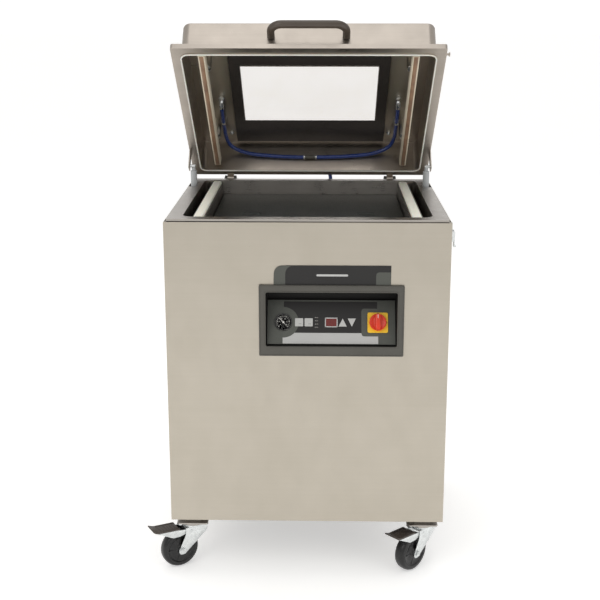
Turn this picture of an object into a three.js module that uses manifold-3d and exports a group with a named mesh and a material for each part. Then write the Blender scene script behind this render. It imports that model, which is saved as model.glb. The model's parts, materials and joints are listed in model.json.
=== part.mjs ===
// Free-standing chamber vacuum packing machine on casters, with its lid open.
// Millimetres, +X to the right, +Y to the back, +Z up. The floor is Z = 0 and the
// origin is the middle of the machine's footprint on the floor.
import * as THREE from 'three';
import { mergeVertices } from 'three/addons/utils/BufferGeometryUtils.js';
import Module from 'manifold-3d';

const wasm = await Module();
wasm.setup();

// ---------------------------------------------------------------- driving dimensions
// The design frame has X = 0 in the middle of the cabinet and Y = 0 at its front face.
const GAP = 0.3; // play between pieces that rest on each other
const SHEET = 2; // stainless sheet of the cabinet
const CAB_W = 690;
const CAB_D = 625;
const CAB_BOTTOM = 161;
const CAB_TOP = CAB_BOTTOM + 775;

const FLANGE_W = 678;
const FLANGE_FRONT = 4;
const FLANGE_BACK = 589;
const FLANGE_TOP = CAB_TOP + 7;
const FLANGE_T = 5;
const CHAMBER_W = 606; // inside width of the tank
const CHAMBER_FRONT = 34; // inside front wall
const CHAMBER_BACK = 559;
const CHAMBER_DEPTH = 110;
const TANK_T = 3;
const TANK_R = 22; // inside corner radius in plan

const BAR_X = 266; // silicone and seal bars, from the middle
const BAR_FRONT = 44;
const BAR_BACK = 549;
const SILICONE_W = 24;
const SEAL_W = 18;

const LID_FLANGE_T = 14;
const LID_BOX_W = 632;
const LID_BOX_H = 86; // box above the flange
const LID_BOX_FRONT = 27;
const LID_BOX_BACK = 566;
const LID_WALL = 3;
const GASKET_T = 4; // how far the gasket stands out of the lid's rim
const LID_OPEN = 41; // degrees
const HINGE_Y = FLANGE_BACK + 12;
const HINGE_Z = FLANGE_TOP - 1;

const PANEL_X = 59; // control panel's middle
const PANEL_TOP = CAB_TOP - 153;
const BEZEL_W = 352;
const BEZEL_H = 179;
const BEZEL_OPEN_W = 319;
const BEZEL_OPEN_H = 136;
const BEZEL_OPEN_TOP = 18; // frame above the opening
const BEZEL_PROUD = 6;
const BEZEL_WALL = 3;

const STRUT_X = 327.5;
const STRUT_TUBE_R = 9;
const STRUT_FOOT = { y: 511, z: 693 }; // lower pivot, on the side panel

const WHEEL_R = 50;
const WHEEL_W = 32;
const CASTER_OFFSET = 42; // swivel axis to wheel axle

const RAD = Math.PI / 180;

// ---------------------------------------------------------------- finishes
const finish = (color, roughness, metalness) =>
  new THREE.MeshStandardMaterial({ color, roughness, metalness });
const STEEL = finish(0xbab0a2, 0.38, 0.9);
const STEEL_DARK = finish(0x6e6a64, 0.5, 0.85);
const ZINC = finish(0xd7dcde, 0.3, 0.9);
const BLACK = finish(0x2f2f2e, 0.6, 0.1);
const GREY = finish(0x55554f, 0.55, 0.1);
const SILICONE = finish(0xe6dcc2, 0.7, 0);
const PTFE = finish(0x966e50, 0.6, 0);
const HOSE_BLUE = finish(0x1e2d64, 0.4, 0);
const GLASS = finish(0xe5ddd8, 0.08, 0);
const RED = finish(0xd73c23, 0.4, 0);
const YELLOW = finish(0xebbe28, 0.45, 0);
const KEY_GREY = finish(0xc9c9c6, 0.5, 0);
const CAST = finish(0x4a5a5f, 0.6, 0.3);
const RUBBER = finish(0x2d2d2f, 0.75, 0);

// ---------------------------------------------------------------- shape helpers
// A closed geometry as a solid that can be joined and cut.
function toSolid(geometry) {
  const bare = geometry.clone();
  bare.deleteAttribute('normal');
  bare.deleteAttribute('uv');
  const merged = mergeVertices(bare, 1e-4);
  return new wasm.Manifold(new wasm.Mesh({
    numProp: 3,
    vertProperties: new Float32Array(merged.attributes.position.array),
    triVerts: new Uint32Array(merged.index.array),
  }));
}

function toGeometry(solid) {
  const mesh = solid.getMesh();
  const geometry = new THREE.BufferGeometry();
  geometry.setAttribute('position', new THREE.BufferAttribute(mesh.vertProperties, 3));
  geometry.setIndex(new THREE.BufferAttribute(mesh.triVerts, 1));
  return geometry;
}

// A box from its lowest to its highest corner.
function block(x0, x1, y0, y1, z0, z1) {
  const geometry = new THREE.BoxGeometry(x1 - x0, y1 - y0, z1 - z0);
  return toSolid(geometry.translate((x0 + x1) / 2, (y0 + y1) / 2, (z0 + z1) / 2));
}

// A round bar between two heights along an axis, through the point (a, b) of the other two.
function bar(axis, radius, from, to, a, b, sides = 16, radiusTo = radius) {
  const geometry = new THREE.CylinderGeometry(radiusTo, radius, to - from, sides);
  const middle = (from + to) / 2;
  if (axis === 'x') return toSolid(geometry.rotateZ(-Math.PI / 2).translate(middle, a, b));
  if (axis === 'y') return toSolid(geometry.translate(a, middle, b));
  return toSolid(geometry.rotateX(Math.PI / 2).translate(a, b, middle));
}

function roundedRect(x0, x1, y0, y1, radius) {
  const shape = new THREE.Shape();
  const corners = [
    [x1 - radius, y0 + radius, -90],
    [x1 - radius, y1 - radius, 0],
    [x0 + radius, y1 - radius, 90],
    [x0 + radius, y0 + radius, 180],
  ];
  shape.moveTo(x0 + radius, y0);
  for (const [x, y, start] of corners) {
    shape.absarc(x, y, radius, start * RAD, (start + 90) * RAD, false);
  }
  shape.closePath();
  return shape;
}

function extrude(shape, z0, z1, curveSegments = 4) {
  const options = { depth: z1 - z0, bevelEnabled: false, curveSegments };
  return toSolid(new THREE.ExtrudeGeometry(shape, options).translate(0, 0, z0));
}

// A plate with rounded corners in plan.
function slab(x0, x1, y0, y1, z0, z1, radius, curveSegments = 4) {
  return extrude(roundedRect(x0, x1, y0, y1, radius), z0, z1, curveSegments);
}

// A plate in the XZ plane with rounded corners, from y0 (front) to y1 (back).
function facePlate(x0, x1, z0, z1, y0, y1, radius, curveSegments = 4) {
  const options = { depth: y1 - y0, bevelEnabled: false, curveSegments };
  const geometry = new THREE.ExtrudeGeometry(roundedRect(x0, x1, z0, z1, radius), options);
  return toSolid(geometry.rotateX(Math.PI / 2).translate(0, y1, 0));
}

// A tube of round section along a smooth curve through the points.
function pipe(points, radius, steps, sides = 8) {
  const knots = points.map((point) => new THREE.Vector3(...point));
  const curve = new THREE.CatmullRomCurve3(knots, false, 'centripetal');
  const section = new THREE.Shape();
  section.absarc(0, 0, radius, 0, 2 * Math.PI, false);
  const options = { steps, extrudePath: curve, curveSegments: sides / 2, bevelEnabled: false };
  return toSolid(new THREE.ExtrudeGeometry(section, options));
}

const machine = new THREE.Group();

function place(name, solid, material, parent = machine) {
  const mesh = new THREE.Mesh(toGeometry(solid), material.clone());
  mesh.name = name;
  parent.add(mesh);
  return mesh;
}

// ---------------------------------------------------------------- cabinet
const HALF_W = CAB_W / 2;
const LIP = 14; // folded edge of a panel
const PANEL_BOTTOM = PANEL_TOP - BEZEL_H;
const OPEN_TOP = PANEL_TOP - BEZEL_OPEN_TOP;
const OPEN_BOTTOM = OPEN_TOP - BEZEL_OPEN_H;
const CASTER_X = 300;
const CASTER_FRONT = 88;
const CASTER_BACK = CAB_D - CASTER_FRONT;
const CASTER_HEAD_TOP = 116; // where the fixed race meets the fork's
const CASTER_PLATE_BOTTOM = 124;
const CASTER_PLATE_TOP = CASTER_PLATE_BOTTOM + 4;
const CASTER_PLATE = { halfX: 40, halfY: 42 };
const RAIL = { half: 20, crossHalf: 15, inset: 60 }; // chassis rails under the base
const BASE_UNDER = CAB_BOTTOM + SHEET + GAP;
const BASE_TOP = BASE_UNDER + 4;
const SIDE_INNER = HALF_W - SHEET;
const INLET = { x: -250, z: CAB_BOTTOM + 87, w: 48, h: 28 };
const POST = 25;
const RAIL_TOP = CAB_TOP - 8;
const LOUVRES = 6;

{
  const trayX = BEZEL_OPEN_W / 2 + BEZEL_WALL + 1;
  const panel = block(-HALF_W, HALF_W, 0, SHEET, CAB_BOTTOM, CAB_TOP)
    .add(block(-SIDE_INNER, SIDE_INNER, SHEET - 0.5, LIP, CAB_TOP - SHEET, CAB_TOP))
    .add(block(-SIDE_INNER, SIDE_INNER, SHEET - 0.5, LIP, CAB_BOTTOM, CAB_BOTTOM + SHEET))
    .subtract(block(PANEL_X - trayX, PANEL_X + trayX, -1, SHEET + 1,
      OPEN_BOTTOM - BEZEL_WALL - 1, OPEN_TOP + BEZEL_WALL + 1));
  place('front_panel', panel, STEEL);
}

for (const [side, sign] of [['left', -1], ['right', 1]]) {
  const back = CAB_D - SHEET - GAP;
  const front = SHEET + GAP;
  let panel = block(SIDE_INNER, HALF_W, front, back, CAB_BOTTOM, CAB_TOP);
  // Foot plate and stud of the gas strut, welded to the inside.
  const plateIn = SIDE_INNER - 3;
  panel = panel.add(block(plateIn, SIDE_INNER + 0.5, STRUT_FOOT.y - 20, STRUT_FOOT.y + 20,
    STRUT_FOOT.z - 25, STRUT_FOOT.z + 25))
    .add(bar('x', 3, STRUT_X - 7, plateIn + 1, STRUT_FOOT.y, STRUT_FOOT.z, 12));
  place(`${side}_side_panel`, sign > 0 ? panel : panel.mirror([1, 0, 0]), STEEL);
}

{
  const front = CAB_D - SHEET;
  let panel = block(-HALF_W, HALF_W, front, CAB_D, CAB_BOTTOM, CAB_TOP);
  for (let i = 0; i < LOUVRES; i += 1) {
    const z = CAB_BOTTOM + 132 + i * 30;
    panel = panel.subtract(block(-110, 110, front - 1, CAB_D + 1, z, z + 10));
  }
  panel = panel.subtract(block(INLET.x - INLET.w / 2, INLET.x + INLET.w / 2, front - 1, CAB_D + 1,
    INLET.z - INLET.h / 2, INLET.z + INLET.h / 2));
  place('rear_panel', panel, STEEL);
}

{
  const inner = SIDE_INNER - GAP;
  const rearInner = CAB_D - SHEET - GAP;
  let frame = block(-inner, inner, SHEET + GAP, rearInner, BASE_UNDER, BASE_TOP);
  for (const sign of [-1, 1]) {
    for (const y of [20, CAB_D - SHEET - 15 - POST]) {
      const x0 = sign < 0 ? -inner : inner - POST;
      frame = frame.add(block(x0, x0 + POST, y, y + POST, BASE_TOP - 1, CAB_TOP - 4)
        .subtract(block(x0 + (sign < 0 ? 3 : -1), x0 + POST + (sign < 0 ? 1 : -3),
          y + 3, y + POST + 1, BASE_TOP, CAB_TOP)));
    }
    for (const y of [CASTER_FRONT, CASTER_BACK]) {
      const x = sign * (CASTER_X - 2);
      frame = frame
        .add(slab(x - CASTER_PLATE.halfX, x + CASTER_PLATE.halfX, y - CASTER_PLATE.halfY,
          y + CASTER_PLATE.halfY, CASTER_PLATE_BOTTOM, CASTER_PLATE_TOP, 6, 2))
        .add(bar('z', 34, CASTER_HEAD_TOP, CASTER_PLATE_BOTTOM + 1, sign * CASTER_X, y, 20));
    }
  }
  // Chassis rails on the underside, front to back over the casters and across at both ends.
  const railBottom = CASTER_PLATE_TOP - 0.5;
  for (const sign of [-1, 1]) {
    const x = sign * (CASTER_X - 2);
    frame = frame.add(block(x - RAIL.half, x + RAIL.half, RAIL.inset, CAB_D - RAIL.inset,
      railBottom, BASE_UNDER + 1));
  }
  for (const y of [CASTER_FRONT, CASTER_BACK]) {
    frame = frame.add(block(-CASTER_X, CASTER_X, y - RAIL.crossHalf, y + RAIL.crossHalf,
      railBottom, BASE_UNDER + 1));
  }
  // Rear rail that carries the hinges.
  frame = frame.add(block(-inner, inner, FLANGE_BACK + 6, rearInner, CAB_TOP - 28, RAIL_TOP));
  place('base_frame', frame, STEEL_DARK);
}

// ---------------------------------------------------------------- chamber
const FLANGE_UNDER = FLANGE_TOP - FLANGE_T;
const FLOOR_TOP = FLANGE_TOP - CHAMBER_DEPTH;
const HALF_CH = CHAMBER_W / 2;
const PORT = { x: 0, y: 508, r: 19, bore: 14, drop: 26 };
const SLOT_FRONT = HINGE_Y - 148;
const SLOT_BACK = HINGE_Y - 68;

{
  let tank = slab(-FLANGE_W / 2, FLANGE_W / 2, FLANGE_FRONT, FLANGE_BACK, FLANGE_UNDER, FLANGE_TOP, 5)
    .add(slab(-HALF_CH - TANK_T, HALF_CH + TANK_T, CHAMBER_FRONT - TANK_T, CHAMBER_BACK + TANK_T,
      FLOOR_TOP - TANK_T, FLANGE_UNDER + 1, TANK_R + TANK_T, 3))
    .add(bar('z', PORT.r, FLOOR_TOP - PORT.drop, FLOOR_TOP - 1, PORT.x, PORT.y))
    .subtract(slab(-HALF_CH, HALF_CH, CHAMBER_FRONT, CHAMBER_BACK, FLOOR_TOP, FLANGE_TOP + 1, TANK_R, 3))
    .subtract(bar('z', PORT.bore, FLOOR_TOP - PORT.drop - 1, FLOOR_TOP + 1, PORT.x, PORT.y));
  for (const sign of [-1, 1]) {
    const inner = sign * (STRUT_X - STRUT_TUBE_R - 1);
    const outer = sign * (FLANGE_W / 2 + 1);
    tank = tank.subtract(block(Math.min(inner, outer), Math.max(inner, outer),
      SLOT_FRONT, SLOT_BACK, FLANGE_UNDER - 1, FLANGE_TOP + 1));
  }
  place('chamber_tank', tank, STEEL);
}

const HOLDER_HALF = 15.5;
const GROOVE_BOTTOM = FLANGE_TOP - 26;
for (const [side, sign] of [['left', -1], ['right', 1]]) {
  const x = sign * BAR_X;
  const half = SILICONE_W / 2;
  const holder = block(x - HOLDER_HALF, x + HOLDER_HALF, BAR_FRONT - 2, BAR_BACK + 2,
    FLOOR_TOP + GAP, FLANGE_TOP - 7)
    .subtract(block(x - half - GAP, x + half + GAP, BAR_FRONT - 3, BAR_BACK + 3, GROOVE_BOTTOM, FLANGE_TOP));
  place(`silicone_holder_${side}`, holder, STEEL_DARK);
  const silicone = block(x - half, x + half, BAR_FRONT, BAR_BACK, GROOVE_BOTTOM + GAP, FLANGE_TOP - 4)
    .add(block(x - half + 2, x + half - 2, BAR_FRONT, BAR_BACK, FLANGE_TOP - 5, FLANGE_TOP - 1));
  place(`silicone_bar_${side}`, silicone, SILICONE);
}

// Filler plate on two ribs; it lifts out to make the chamber deeper.
const INSERT_TOP = FLANGE_TOP - 40;
{
  const half = BAR_X - HOLDER_HALF - 3;
  let plate = slab(-half, half, CHAMBER_FRONT + 4, CHAMBER_BACK - 4, INSERT_TOP - 12, INSERT_TOP, 10, 3);
  for (const x of [-150, 150]) {
    plate = plate.add(block(x - 8, x + 8, CHAMBER_FRONT + 20, CHAMBER_BACK - 20,
      FLOOR_TOP + GAP, INSERT_TOP - 6));
  }
  place('insert_plate', plate, BLACK);
}

// ---------------------------------------------------------------- control panel
// The fascia leans back: its lower edge is near the front and its upper edge is deep
// inside the bezel. Pieces on it are placed in its own frame: X to the right, Z up
// along the slope from the lower edge, and Y into the machine.
const FASCIA_T = 3;
const FASCIA_FRONT = 5;
const FASCIA_RUN = 48;
const FASCIA_RISE = 99;
const FASCIA_TILT = Math.atan2(FASCIA_RUN, FASCIA_RISE);
const FASCIA_L = Math.hypot(FASCIA_RUN, FASCIA_RISE);
const FASCIA_W = BEZEL_OPEN_W - 4;
const BEZEL_DEEP = 62;

{
  const halfW = BEZEL_W / 2;
  const halfOpen = BEZEL_OPEN_W / 2;
  const outer = halfOpen + BEZEL_WALL;
  const bezel = facePlate(PANEL_X - halfW, PANEL_X + halfW, PANEL_BOTTOM, PANEL_TOP,
    -BEZEL_PROUD, -GAP, 3, 2)
    .add(block(PANEL_X - outer, PANEL_X + outer, -GAP - 1, BEZEL_DEEP + BEZEL_WALL,
      OPEN_BOTTOM - BEZEL_WALL, OPEN_TOP + BEZEL_WALL))
    .subtract(facePlate(PANEL_X - halfOpen, PANEL_X + halfOpen, OPEN_BOTTOM, OPEN_TOP,
      -BEZEL_PROUD - 1, BEZEL_DEEP, 4, 2))
    // Cable opening in the floor of the recess, under the fascia.
    .subtract(block(PANEL_X - 60, PANEL_X + 60, 30, 50, OPEN_BOTTOM - BEZEL_WALL - 1, OPEN_BOTTOM + 1));
  place('control_bezel', bezel, BLACK);
}

const fasciaGroup = new THREE.Group();
fasciaGroup.position.set(PANEL_X, FASCIA_FRONT, OPEN_BOTTOM + 2);
fasciaGroup.rotation.x = -FASCIA_TILT;
machine.add(fasciaGroup);

const CONTROL_LINE = 54; // height of the row of controls up the slope
const GAUGE_U = -118;
const GAUGE_R = 21.5;
const KEY_SIZE = 20;
const KEY_PROUD = 1.6;
const SQUARE_KEYS = [['vacuum_key', -79], ['seal_key', -55.5]];
const ARROW_KEYS = [['up_key', 28, 1], ['down_key', 50.5, -1]];
const DISPLAY = { w: 31, h: 24 };
const SWITCH_U = 114;

function arrow(u, size, direction, y0, y1) {
  const half = size / 2;
  const corners = [[u - half, -half * direction], [u + half, -half * direction], [u, half * direction]];
  const ordered = direction > 0 ? corners : [corners[1], corners[0], corners[2]];
  const shape = new THREE.Shape(ordered.map(([x, z]) => new THREE.Vector2(x, CONTROL_LINE + z)));
  const geometry = new THREE.ExtrudeGeometry(shape, { depth: y1 - y0, bevelEnabled: false });
  return toSolid(geometry.rotateX(Math.PI / 2).translate(0, y1, 0));
}

const squareKey = (u, size, y0, y1) => facePlate(u - size / 2, u + size / 2,
  CONTROL_LINE - size / 2, CONTROL_LINE + size / 2, y0, y1, 1.5, 2);

{
  let fascia = block(-FASCIA_W / 2, FASCIA_W / 2, 0, FASCIA_T, 0, FASCIA_L)
    .subtract(bar('y', GAUGE_R - 2, -1, FASCIA_T + 1, GAUGE_U, CONTROL_LINE, 32))
    .subtract(bar('y', 5, -1, FASCIA_T + 1, SWITCH_U, CONTROL_LINE))
    .subtract(squareKey(0, DISPLAY.h - 2, -1, FASCIA_T + 1));
  for (const [, u] of SQUARE_KEYS) {
    fascia = fascia.subtract(squareKey(u, KEY_SIZE + 0.8, -1, FASCIA_T + 1));
  }
  for (const [, u, direction] of ARROW_KEYS) {
    fascia = fascia.subtract(arrow(u, KEY_SIZE + 1.6, direction, -1, FASCIA_T + 1));
  }
  place('control_fascia', fascia, GREY, fasciaGroup);
}

for (const [name, u] of SQUARE_KEYS) {
  place(name, squareKey(u, KEY_SIZE, -KEY_PROUD, FASCIA_T), KEY_GREY, fasciaGroup);
}
for (const [name, u, direction] of ARROW_KEYS) {
  place(name, arrow(u, KEY_SIZE, direction, -KEY_PROUD, FASCIA_T), KEY_GREY, fasciaGroup);
}

{
  const half = DISPLAY.w / 2;
  const window = facePlate(-half, half, CONTROL_LINE - DISPLAY.h / 2, CONTROL_LINE + DISPLAY.h / 2,
    -1.2, -GAP, 1, 2)
    .add(squareKey(0, DISPLAY.h - 3, -GAP - 0.5, FASCIA_T));
  place('display_window', window, RED, fasciaGroup);
}

{
  const ring = bar('y', GAUGE_R, -4, -GAP, GAUGE_U, CONTROL_LINE, 32)
    .add(bar('y', GAUGE_R - 2.5, -GAP - 1, 24, GAUGE_U, CONTROL_LINE, 32))
    .subtract(bar('y', GAUGE_R - 3, -5, -1, GAUGE_U, CONTROL_LINE, 32));
  place('gauge_body', ring, BLACK, fasciaGroup);
  const needle = bar('y', 2.5, -2.6, -1.4, 0, 0, 16)
    .add(toSolid(new THREE.BoxGeometry(1.4, 0.8, 21).translate(0, -2, 5)))
    .rotate([0, -45, 0])
    .translate([GAUGE_U, 0, CONTROL_LINE]);
  place('gauge_needle', needle, KEY_GREY, fasciaGroup);
}

{
  const half = 25;
  const plate = facePlate(SWITCH_U - half, SWITCH_U + half, CONTROL_LINE - half, CONTROL_LINE + half,
    -3, -GAP, 4, 3)
    .subtract(bar('y', 5, -5, 1, SWITCH_U, CONTROL_LINE));
  place('switch_plate', plate, YELLOW, fasciaGroup);
  const knob = bar('y', 18, -11, -3 - GAP, SWITCH_U, CONTROL_LINE, 32, 21)
    .add(facePlate(SWITCH_U - 6, SWITCH_U + 6, CONTROL_LINE - 20, CONTROL_LINE + 20, -23, -10, 5, 3))
    .add(bar('y', 4.5, -4, 8, SWITCH_U, CONTROL_LINE));
  place('switch_knob', knob, RED, fasciaGroup);
}

// Badge plate above the bezel, with one large rounded corner.
{
  const left = PANEL_X - 140;
  const right = PANEL_X + 143;
  const bottom = PANEL_TOP + GAP;
  const top = bottom + 48;
  const shape = new THREE.Shape();
  shape.moveTo(left, bottom);
  shape.lineTo(right, bottom);
  shape.lineTo(right, top);
  shape.lineTo(left + 34, top);
  shape.absarc(left + 34, top - 34, 34, 90 * RAD, 180 * RAD, false);
  shape.closePath();
  const geometry = new THREE.ExtrudeGeometry(shape, { depth: 1.5, bevelEnabled: false, curveSegments: 8 });
  place('badge_plate', toSolid(geometry.rotateX(Math.PI / 2).translate(0, -GAP, 0)), BLACK);
}

// ---------------------------------------------------------------- draw latch, right side
const LATCH_Y = 36;
const LATCH_PIVOT = { x: HALF_W + 7, z: CAB_TOP - 31 };
const LATCH_HOOK_PIVOT = { x: HALF_W + GAP + 4.6, z: CAB_TOP - 46 };
{
  const x = HALF_W + GAP;
  let base = block(x, x + 1.7, LATCH_Y - 12, LATCH_Y + 12, CAB_TOP - 67, CAB_TOP - 21);
  for (const sign of [-1, 1]) {
    const inner = LATCH_Y + sign * 9.6;
    const outer = LATCH_Y + sign * 12;
    base = base.add(block(x, x + 10, Math.min(inner, outer), Math.max(inner, outer),
      CAB_TOP - 37, CAB_TOP - 25));
    // Stub pin, so that the hook can pass between the two.
    const pinEnd = LATCH_Y + sign * 6.8;
    base = base.add(bar('y', 2, Math.min(pinEnd, outer), Math.max(pinEnd, outer),
      LATCH_PIVOT.x, LATCH_PIVOT.z));
  }
  place('latch_base', base, ZINC);

  // The lever hangs down from its pivot; its lower end turns outwards as a finger grip.
  let lever = block(x + 7.6, x + 10, LATCH_Y - 8.6, LATCH_Y + 8.6, CAB_TOP - 61, CAB_TOP - 33.5)
    .add(block(x + 7.6, x + 13, LATCH_Y - 8.6, LATCH_Y + 8.6, CAB_TOP - 65, CAB_TOP - 60.5));
  for (const sign of [-1, 1]) {
    const inner = LATCH_Y + sign * 6.6;
    const outer = LATCH_Y + sign * 8.6;
    lever = lever.add(block(x + 3.4, x + 10, Math.min(inner, outer), Math.max(inner, outer),
      CAB_TOP - 51, CAB_TOP - 27.6));
  }
  lever = lever
    .subtract(block(x + 7, x + 11, LATCH_Y - 6, LATCH_Y + 6, CAB_TOP - 55, CAB_TOP - 32))
    .subtract(bar('y', 2.3, LATCH_Y - 12, LATCH_Y + 12, LATCH_PIVOT.x, LATCH_PIVOT.z, 16))
    .add(bar('y', 1.5, LATCH_Y - 7, LATCH_Y + 7, LATCH_HOOK_PIVOT.x, LATCH_HOOK_PIVOT.z, 12));
  place('latch_lever', lever, ZINC);

  const hook = block(x + 2.2, x + 4.4, LATCH_Y - 5, LATCH_Y + 5, CAB_TOP - 46, CAB_TOP - 5)
    .add(bar('y', 2.7, LATCH_Y - 5, LATCH_Y + 5, LATCH_HOOK_PIVOT.x, LATCH_HOOK_PIVOT.z, 12))
    .add(block(x + 0.8, x + 4.4, LATCH_Y - 5, LATCH_Y + 5, CAB_TOP - 7.5, CAB_TOP - 5))
    .subtract(bar('y', 1.8, LATCH_Y - 12, LATCH_Y + 12, LATCH_HOOK_PIVOT.x, LATCH_HOOK_PIVOT.z, 12));
  place('latch_hook', hook, ZINC);
}

// ---------------------------------------------------------------- pump and electrics
const PUMP = { x0: -250, x1: -40, y0: 190, y1: 400, top: CAB_BOTTOM + 202 };
const MOTOR = { y: 295, z: CAB_BOTTOM + 112, r: 84, from: PUMP.x1 + GAP, to: 175 };
{
  const z0 = BASE_TOP + GAP;
  let pump = slab(PUMP.x0, PUMP.x1, PUMP.y0, PUMP.y1, z0, PUMP.top, 24, 3);
  for (let i = 0; i < 5; i += 1) {
    const x = PUMP.x0 + 30 + i * 34;
    pump = pump.add(block(x, x + 6, PUMP.y0 - 8, PUMP.y1 + 8, z0 + 12, PUMP.top - 20));
  }
  place('pump_body', pump, CAST);

  const motor = bar('x', MOTOR.r, MOTOR.from, MOTOR.to, MOTOR.y, MOTOR.z, 24)
    .add(block(MOTOR.from + 40, MOTOR.to - 40, MOTOR.y - 60, MOTOR.y + 60, z0, MOTOR.z - 60))
    .add(block(MOTOR.from + 60, MOTOR.to - 60, MOTOR.y - 35, MOTOR.y + 35, MOTOR.z + 60, MOTOR.z + 110))
    .subtract(bar('x', MOTOR.r - 6, MOTOR.to - 34, MOTOR.to + 1, MOTOR.y, MOTOR.z, 24))
    .subtract(bar('x', 8, MOTOR.to - 80, MOTOR.to, MOTOR.y, MOTOR.z, 16));
  place('pump_motor', motor, CAST);

  let fan = bar('x', 20, MOTOR.to - 28, MOTOR.to - 8, MOTOR.y, MOTOR.z, 16)
    .add(bar('x', 7, MOTOR.to - 74, MOTOR.to - 20, MOTOR.y, MOTOR.z, 16));
  const BLADES = 6;
  for (let i = 0; i < BLADES; i += 1) {
    fan = fan.add(block(MOTOR.to - 26, MOTOR.to - 10, -1.5, 1.5, 17, MOTOR.r - 12)
      .rotate([i * 360 / BLADES, 0, 0]).translate([0, MOTOR.y, MOTOR.z]));
  }
  place('motor_fan', fan, BLACK);

  const can = { x: -195, y: 345 };
  const filter = bar('z', 44, PUMP.top + GAP, PUMP.top + 130, can.x, can.y, 24)
    .add(bar('z', 30, PUMP.top + 129, PUMP.top + 150, can.x, can.y, 24));
  place('exhaust_filter', filter, ZINC);

  const hoseTop = FLOOR_TOP - PORT.drop - GAP;
  const inlet = { x: -100, y: 250 };
  place('vacuum_hose', pipe([
    [inlet.x, inlet.y, PUMP.top + GAP],
    [inlet.x, inlet.y, PUMP.top + 60],
    [inlet.x + 5, inlet.y + 40, PUMP.top + 170],
    [-50, 400, PUMP.top + 290],
    [PORT.x, PORT.y - 8, hoseTop - 70],
    [PORT.x, PORT.y, hoseTop - 30],
    [PORT.x, PORT.y, hoseTop],
  ], 20, 16, 8), BLACK);

  const transformer = block(215, 315, 150, 240, z0, z0 + 12)
    .add(block(225, 305, 160, 230, z0 + 11, z0 + 95))
    .add(block(235, 295, 145, 245, z0 + 28, z0 + 78));
  place('seal_transformer', transformer, CAST);

  const valve = block(215, 295, 420, 470, z0, z0 + 40)
    .add(bar('z', 18, z0 + 39, z0 + 85, 235, 445, 16))
    .add(bar('z', 18, z0 + 39, z0 + 85, 275, 445, 16));
  place('solenoid_valve', valve, ZINC);
}

{
  const half = { w: INLET.w / 2 - GAP, h: INLET.h / 2 - GAP };
  const inlet = block(INLET.x - half.w, INLET.x + half.w, CAB_D - 30, CAB_D + 0.5,
    INLET.z - half.h, INLET.z + half.h)
    .add(facePlate(INLET.x - 30, INLET.x + 30, INLET.z - 18, INLET.z + 18, CAB_D + GAP, CAB_D + 2.5, 4, 2))
    .subtract(facePlate(INLET.x - 13, INLET.x + 13, INLET.z - 9, INLET.z + 9, CAB_D - 18, CAB_D + 3, 3, 2));
  place('mains_inlet', inlet, BLACK);
}

// ---------------------------------------------------------------- lid
// Everything on the lid is written where it lies with the lid shut, and the group then
// turns it open about the hinge line.
const lidGroup = new THREE.Group();
lidGroup.position.set(0, HINGE_Y, HINGE_Z);
lidGroup.rotation.x = -LID_OPEN * RAD;
const lid = new THREE.Group();
lid.position.set(0, -HINGE_Y, -HINGE_Z);
lidGroup.add(lid);
machine.add(lidGroup);

const RIM = FLANGE_TOP + GASKET_T; // underside of the lid's rim, lid shut
const RIM_TOP = RIM + LID_FLANGE_T;
const BOX_TOP = RIM_TOP + LID_BOX_H;
const ROOF_UNDER = BOX_TOP - LID_WALL;
const HALF_BOX = LID_BOX_W / 2;
const HALF_IN = HALF_BOX - LID_WALL;
const WINDOW = { half: 184, front: 198, back: 452 };
const PANE = { half: 212, front: 52, back: 545, t: 9 };
const HINGE_X = 232;
const KNUCKLE_R = 9;
const PIN_R = 5;
const STUD_R = 4;
const STRUT_TOP = { y: HINGE_Y - 115.7, z: HINGE_Z - 31.4 }; // upper strut pivot, lid shut
const LUG_X = STRUT_X + STRUT_TUBE_R + 1.4;
const LUG_T = 3;

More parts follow.
